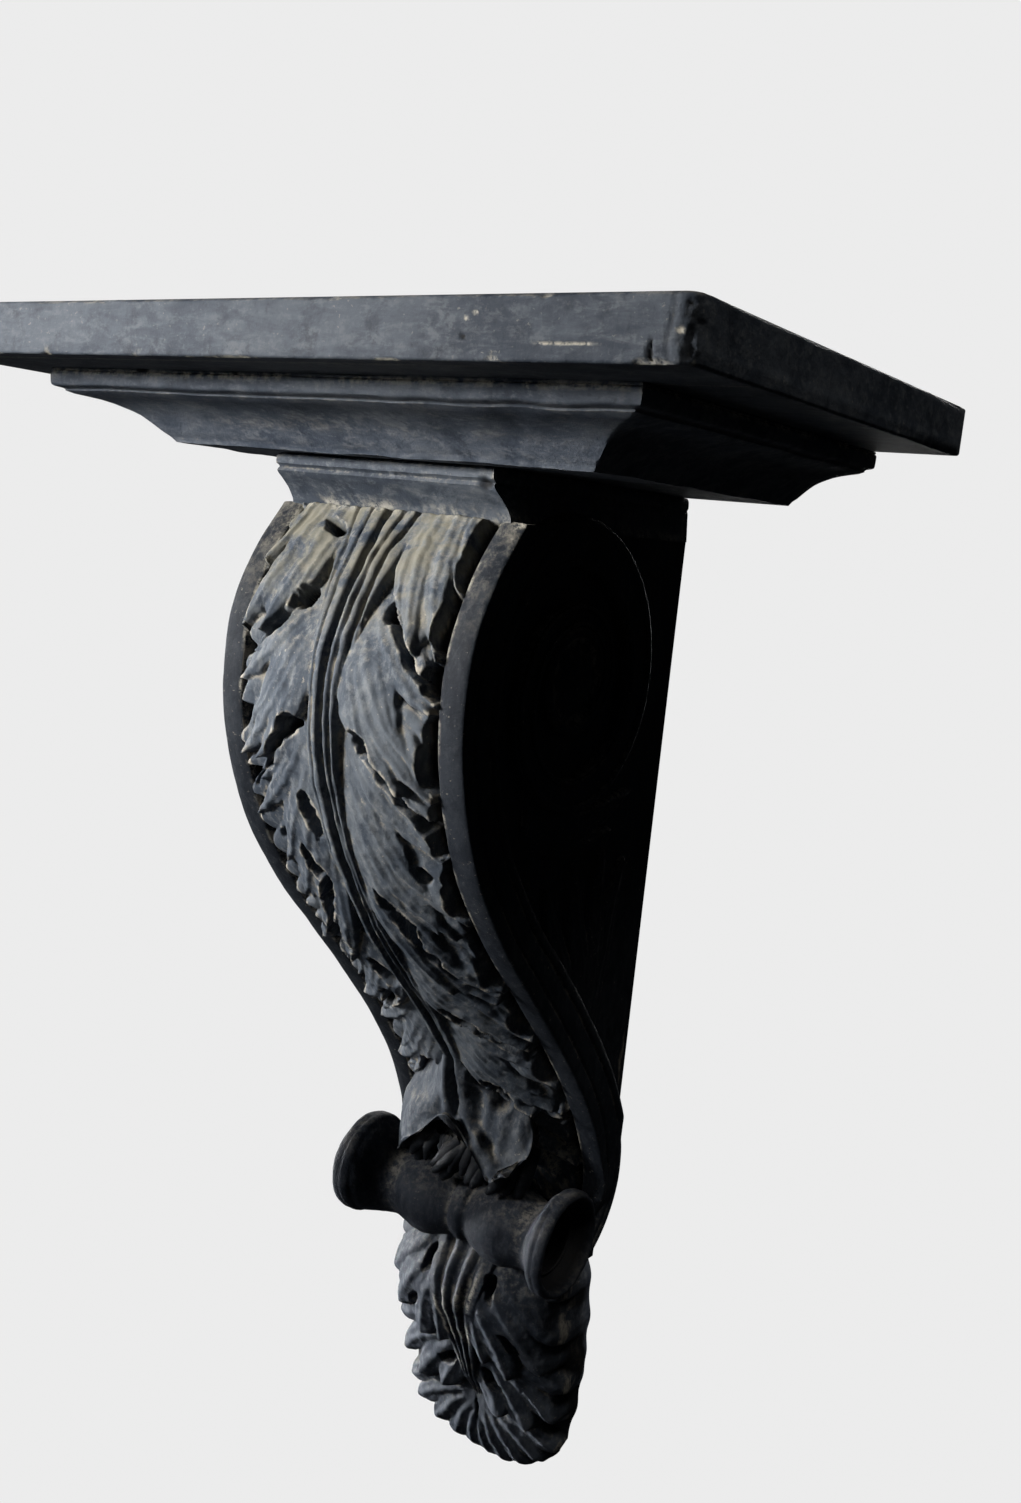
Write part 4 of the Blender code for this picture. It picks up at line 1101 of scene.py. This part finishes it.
def finger_plan():
    """Tree for the row of curled fingers that hang under the turned-over tip."""
    plan = GrowPlan("curled fingers", {
        "Fingers": 9, "Half Width": 0.036, "Front": 0.086, "Height": -0.208, "Sag": 0.010, "Length": 0.046,
        "Bow": -0.22, "Thickness": 0.0058, "Seed": 4, "Material": None,
    })
    steps = 20
    share = plan.grow("InputIndex") / (plan["Fingers"] - 1.0)
    place = plan.math("MULTIPLY_ADD", share, 2.0, -1.0)
    bow = place * place * plan["Sag"]
    spots = plan.spots(plan["Fingers"], plan.xyz(
        place * plan["Half Width"], bow - plan["Front"], plan["Height"] - bow * 0.4))
    along = plan.grow("InputIndex") / (steps - 1.0)
    reach_y = plan.math("SINE", along * 2.5) * (plan["Length"] * plan["Bow"])
    reach_z = along * (plan["Length"] * -1.0)
    taper = plan.math("POWER", plan.math("SINE", plan.math("MULTIPLY_ADD", along, 1.9, 1.0)), 0.6)
    profile = plan.grow("CurvePrimitiveCircle", Resolution=14, Radius=plan["Thickness"])
    finger = plan.sweep(steps, plan.xyz(0.0, reach_y, reach_z), profile, taper)
    lean = plan.xyz(0.0, plan.random(-0.15, 0.75), place * 0.5)
    size = plan.random(0.6, 1.2)
    laid = plan.grow("InstanceOnPoints", Points=spots, Instance=finger, Rotation=lean, Scale=size)
    return plan.finish(laid)


def make_boss(side):
    """Round boss at the eye of the upper volute."""
    x, radius = fine_profile(BOSS_PROFILE, 1.2)
    turns = full_turn(96)
    lobed = 1 + 0.05 * np.cos(turns * 8) * ((radius > 15) & (radius < 27))
    front, depth = BOSS_CENTRE
    y = -(front + radius * lobed * np.cos(turns))
    grid = np.stack((side * x + 0 * turns, y, top_z(depth + radius * np.sin(turns))), axis=-1)
    return grid_object("volute_boss", grid)


def make_side_leaf(side, leaflets, low, high):
    """A carved leaf on the side panel, as a height map between two corners."""
    share = np.linspace(0, 1, int((high[0] - low[0]) / 0.9))
    depth = np.linspace(low[1], high[1], int((high[1] - low[1]) / 0.9))
    limit = np.minimum(high[0], smooth(RIM_CURVE, depth) - 22)
    across = low[0] + share[None] * (limit[:, None] - low[0])
    down = np.repeat(depth[:, None], len(share), axis=1)
    height = np.full(across.shape, -4.0)
    for root, bend, tip, width, rise in leaflets:
        levels = (0, rise, rise * 0.6)
        lay_leaflet(height, across, down, bend_line(root, bend, tip), width, levels, 2.4, 0.4, 2.4)
    face = np.stack((side * (PANEL_FACE + height * 0.9), -across, top_z(down)), axis=-1)
    behind = np.stack((
        np.full((len(depth), 2), side * 74.0),
        -np.stack((across[:, -1], across[:, 0]), axis=1),
        top_z(pair(depth)),
    ), axis=-1)
    return grid_object("side_leaf", np.concatenate((face, behind), axis=1))


def join_pieces(name, pieces):
    """Join several objects into the first, under one name."""
    for other in bpy.context.selected_objects:
        other.select_set(False)
    for piece in pieces:
        piece.select_set(True)
    bpy.context.view_layer.objects.active = pieces[0]
    with bpy.context.temp_override(active_object=pieces[0], selected_editable_objects=pieces):
        bpy.ops.object.join()
    pieces[0].name = name
    pieces[0].data.name = name
    return pieces[0]


def length(name, description, default):
    """A length for the panel."""
    return FloatProperty(name=name, description=description, default=default, unit="LENGTH")


def colour(name, description, default):
    """A colour for the panel."""
    return FloatVectorProperty(
        name=name, description=description, default=default, subtype="COLOR", min=0, max=1,
    )


class ShelfSizes(bpy.types.PropertyGroup):
    """Sizes of the board and the moulding."""

    width: length("Width", "Width of the board", 0.5)
    depth: length("Depth", "Depth of the board from the wall", 0.338)
    board_thickness: length("Board", "Thickness of the board", 0.028)


class LeafSizes(bpy.types.PropertyGroup):
    """Sizes of the scroll and its carving."""

    rim_inner: length("Rim inside", "Half width inside the rims", 0.073)
    rim_outer: length("Rim outside", "Half width over the rims", 0.09)
    panel: length("Side panel", "Half width at the side panels", 0.0795)
    band: length("Band", "Width of the raised side band", 0.033)
    carving_depth: length("Carving", "Depth of the ground below the rims", 0.0085)
    rows: IntProperty(name="Rows", description="Steps down the leaf", default=622)
    columns: IntProperty(name="Columns", description="Steps across the leaf", default=171)


class Finish(bpy.types.PropertyGroup):
    """Colours of the paint, the wear, the dirt and the painted shade."""

    paint: colour("Paint", "Slate paint", (0.104, 0.119, 0.144))
    deep_paint: colour("Deep paint", "Darker clouds", (0.046, 0.058, 0.080))
    pale_paint: colour("Pale paint", "Rubbed paint", (0.19, 0.20, 0.215))
    dust: colour("Dust", "Dust in shallow hollows", (0.26, 0.235, 0.19))
    worn: colour("Worn", "Worn ridges", (0.38, 0.345, 0.285))
    plaster: colour("Plaster", "Bare chips", (0.44, 0.41, 0.34))
    # Grime is near black: besides dirt, it paints the shade in the hollows, slots, recesses and pits
    grime_and_shade: colour("Grime", "Dirt in deep hollows", (0.006, 0.006, 0.007))
    olive: colour("Olive", "Brown grime near the top", (0.146, 0.138, 0.108))


class BoardOperator(bpy.types.Operator):
    """Make the board."""

    bl_idname = "corbel.board"
    bl_label = "Board"

    def execute(self, context):
        dress(make_board(context.scene.corbel_shelf), "board paint", 60, "shelf_slab")
        return {"FINISHED"}


class BedOperator(bpy.types.Operator):
    """Make the moulding under the board."""

    bl_idname = "corbel.bed"
    bl_label = "Bed moulding"

    def execute(self, context):
        dress(make_bed(context.scene.corbel_shelf), "moulding paint", 45, "bed_moulding")
        return {"FINISHED"}


class ScrollOperator(bpy.types.Operator):
    """Make the neck, the scroll's body and its side carving."""

    bl_idname = "corbel.scroll"
    bl_label = "Scroll"

    def execute(self, context):
        leaf = context.scene.corbel_leaf
        dress(make_neck(), "neck paint", 40)
        self.body(leaf)
        plan = volute_plan()
        paint = paint_for("scroll paint")
        for side, word in ((-1.0, "left"), (1.0, "right")):
            upper = grown("upper_volute_" + word, plan, {"Side": side, "Material": paint})
            lower = grown("lower_volute_" + word, plan, {"Side": side, "Material": paint, **LOWER_VOLUTE})
            boss = make_boss(side)
            husk = make_side_leaf(side, HUSK, (38, 222), (164, 296))
            frond = make_side_leaf(side, FROND, (28, 284), (146, 442))
            carving = join_pieces("side_carving_" + word, [husk, frond, boss, upper, lower])
            roughen(carving, (14, 0.25, 34))
            mark_wear(carving, 6, 3)
            dress(carving, "scroll paint", 55)
        return {"FINISHED"}

    def body(self, leaf):
        """The scroll's body, worn pale along the inner edge of its rims and over the right rim's top."""
        made = make_scroll(leaf)
        roughen(made, (30, 0.35, 32), (7, 0.14, 33))
        mark_wear(made, 8, 4)
        place = mesh_points(made.data)[0] * MM
        x, y, z = place.T
        edge = bell(np.abs(x), leaf.rim_inner * MM + 0.5, 0.7) * (y < -20)
        worn = 0.6 * edge * ramp(cloud(place, 14, 36) + 0.6 * cloud(place, 4, 37), -0.1, 0.6)
        gap, _ = nearest(-y, top_z(z), ((228, 106), (219, 98), (204, 92)))
        stroke = 0.9 * (1 - ramp(gap + 1.5 * cloud(place, 4, 38), 1.5, 4.5)) * ramp(x, 80, 86)
        stain(made, chip=np.maximum(worn, stroke))
        dress(made, "scroll paint", 50)


class LeafOperator(bpy.types.Operator):
    """Make the acanthus leaf on the front."""

    bl_idname = "corbel.leaf"
    bl_label = "Front leaf"

    def execute(self, context):
        dress(make_leaf(context.scene.corbel_leaf), "leaf paint", 180)
        return {"FINISHED"}


class TipOperator(bpy.types.Operator):
    """Make the turned-over tip and the fingers under it."""

    bl_idname = "corbel.tip"
    bl_label = "Curled tip"

    def execute(self, context):
        dress(make_tip(), "tip paint", 180)
        plan = finger_plan()
        # The fingers' near-black copy of the paint is painted shade, for the shadow under the turned-over tip
        paint = paint_for("finger paint")
        rows = [grown(word + "_fingers", plan, {"Material": paint, **values})
                for word, values in FINGERS.items()]
        fingers = join_pieces("curled_fingers", rows)
        roughen(fingers, (9, 1.8, 52), (4, 0.5, 53))
        mark_wear(fingers, 4, 3.5)
        dress(fingers, "finger paint", 60)
        return {"FINISHED"}


class RollOperator(bpy.types.Operator):
    """Make the roll across the foot."""

    bl_idname = "corbel.roll"
    bl_label = "Roll"

    def execute(self, context):
        dress(make_roll(), "roll paint", 50)
        return {"FINISHED"}


class PendantOperator(bpy.types.Operator):
    """Make the hanging leaf."""

    bl_idname = "corbel.pendant"
    bl_label = "Hanging leaf"

    def execute(self, context):
        dress(make_pendant(), "hanging leaf paint", 180)
        return {"FINISHED"}


class StageOperator(bpy.types.Operator):
    """Set up the floor, the lights and the camera."""

    bl_idname = "corbel.stage"
    bl_label = "Stage"

    def execute(self, context):
        context.scene.view_settings.view_transform = "Standard"
        self.world(context.scene)
        self.floor()
        for light in LIGHTS:
            self.light(*light)
        self.camera(context.scene)
        return {"FINISHED"}

    def show_pale(self, sheet, plain, pale, output):
        """Show the camera the pale shader, and everything else the plain one."""
        seen = sheet.add("ShaderNodeLightPath")
        mixed = sheet.add("ShaderNodeMixShader", values={0: seen, 1: plain, 2: pale})
        sheet.add(output, values={"Surface": mixed})

    def world(self, scene):
        """A pale backdrop that hardly lights the part."""
        scene.world = bpy.data.worlds.new("studio")
        scene.world.use_nodes = True
        sheet = Sheet(scene.world.node_tree)
        sheet.tree.nodes.clear()
        pale = sheet.add("ShaderNodeBackground", values={"Color": BACKDROP, "Strength": 1})
        dim = sheet.add("ShaderNodeBackground", values={"Color": (0.90, 0.93, 1.0, 1.0), "Strength": 0.016})
        self.show_pale(sheet, dim, pale, "ShaderNodeOutputWorld")

    def floor(self):
        """Pale floor of the backdrop's tone, well below the part."""
        sheet = PaintSheet("pale floor")
        body = sheet.add("ShaderNodeBsdfDiffuse", values={"Color": (0.10, 0.10, 0.10, 1.0)})
        pale = sheet.add("ShaderNodeEmission", values={"Color": BACKDROP, "Strength": 1})
        self.show_pale(sheet, body, pale, "ShaderNodeOutputMaterial")
        turns = full_turn(96)
        rings = [np.stack((r * np.cos(turns), r * np.sin(turns), 0 * turns + FLOOR_LEVEL), axis=-1)
                 for r in (10, 1500, 3000, 6000)]
        made = grid_object("floor", np.array(rings), solid=False)
        made.data.materials.append(sheet.material)
        made.data.flip_normals()

    def light(self, name, place, target, power, size, shade, spread):
        """One soft square light that faces the shelf."""
        data = bpy.data.lights.new(name, "AREA")
        data.energy = power
        data.size = size
        data.color = shade
        data.spread = math.radians(spread)
        lamp = bpy.data.objects.new(name, data)
        bpy.context.scene.collection.objects.link(lamp)
        lamp.location = place
        lamp.rotation_euler = (Vector(target) - Vector(place)).to_track_quat("-Z", "Y").to_euler()

    def camera(self, scene):
        """The photo's camera, solved from its straight edges."""
        data = bpy.data.cameras.new("photo view")
        data.sensor_fit = "VERTICAL"
        data.sensor_height = SENSOR
        data.lens = FOCAL_PIXELS / PHOTO_HEIGHT * SENSOR
        data.clip_start = 0.01
        camera = bpy.data.objects.new("photo view", data)
        scene.collection.objects.link(camera)
        turn = Matrix.Identity(3)
        for angle, axis in CAMERA_TURNS:
            turn = turn @ Matrix.Rotation(angle, 3, axis)
        right, forward, up = (turn.col[i] for i in range(3))
        view = Matrix((right, up, -forward)).transposed().to_4x4()
        view.translation = CAMERA_PLACE
        camera.matrix_world = view
        scene.camera = camera


class CorbelPanel(bpy.types.Panel):
    """Lists the pieces of the corbel shelf."""

    bl_idname = "VIEW3D_PT_corbel_shelf"
    bl_label = "Corbel Shelf"
    bl_space_type = "VIEW_3D"
    bl_region_type = "UI"
    bl_category = "Corbel Shelf"

    def draw(self, context):
        for group in (context.scene.corbel_shelf, context.scene.corbel_leaf, context.scene.corbel_finish):
            box = self.layout.box()
            for name in group.__annotations__:
                box.prop(group, name)
        for operator in OPERATORS:
            self.layout.operator(operator.bl_idname)


OPERATORS = (
    StageOperator, BoardOperator, BedOperator, ScrollOperator, LeafOperator, TipOperator, RollOperator,
    PendantOperator,
)
CLASSES = (ShelfSizes, LeafSizes, Finish, *OPERATORS, CorbelPanel)


def register():
    """Register the classes and hang the settings on the scene."""
    for part in CLASSES:
        bpy.utils.register_class(part)
    bpy.types.Scene.corbel_shelf = PointerProperty(type=ShelfSizes)
    bpy.types.Scene.corbel_leaf = PointerProperty(type=LeafSizes)
    bpy.types.Scene.corbel_finish = PointerProperty(type=Finish)


def unregister():
    """Take the settings and classes away again."""
    del bpy.types.Scene.corbel_finish
    del bpy.types.Scene.corbel_leaf
    del bpy.types.Scene.corbel_shelf
    for part in reversed(CLASSES):
        bpy.utils.unregister_class(part)


def main():
    """Build every piece in order."""
    register()
    bpy.ops.corbel.stage()
    bpy.ops.corbel.board()
    bpy.ops.corbel.bed()
    bpy.ops.corbel.scroll()
    bpy.ops.corbel.leaf()
    bpy.ops.corbel.tip()
    bpy.ops.corbel.roll()
    bpy.ops.corbel.pendant()


if __name__ == "__main__":
    main()
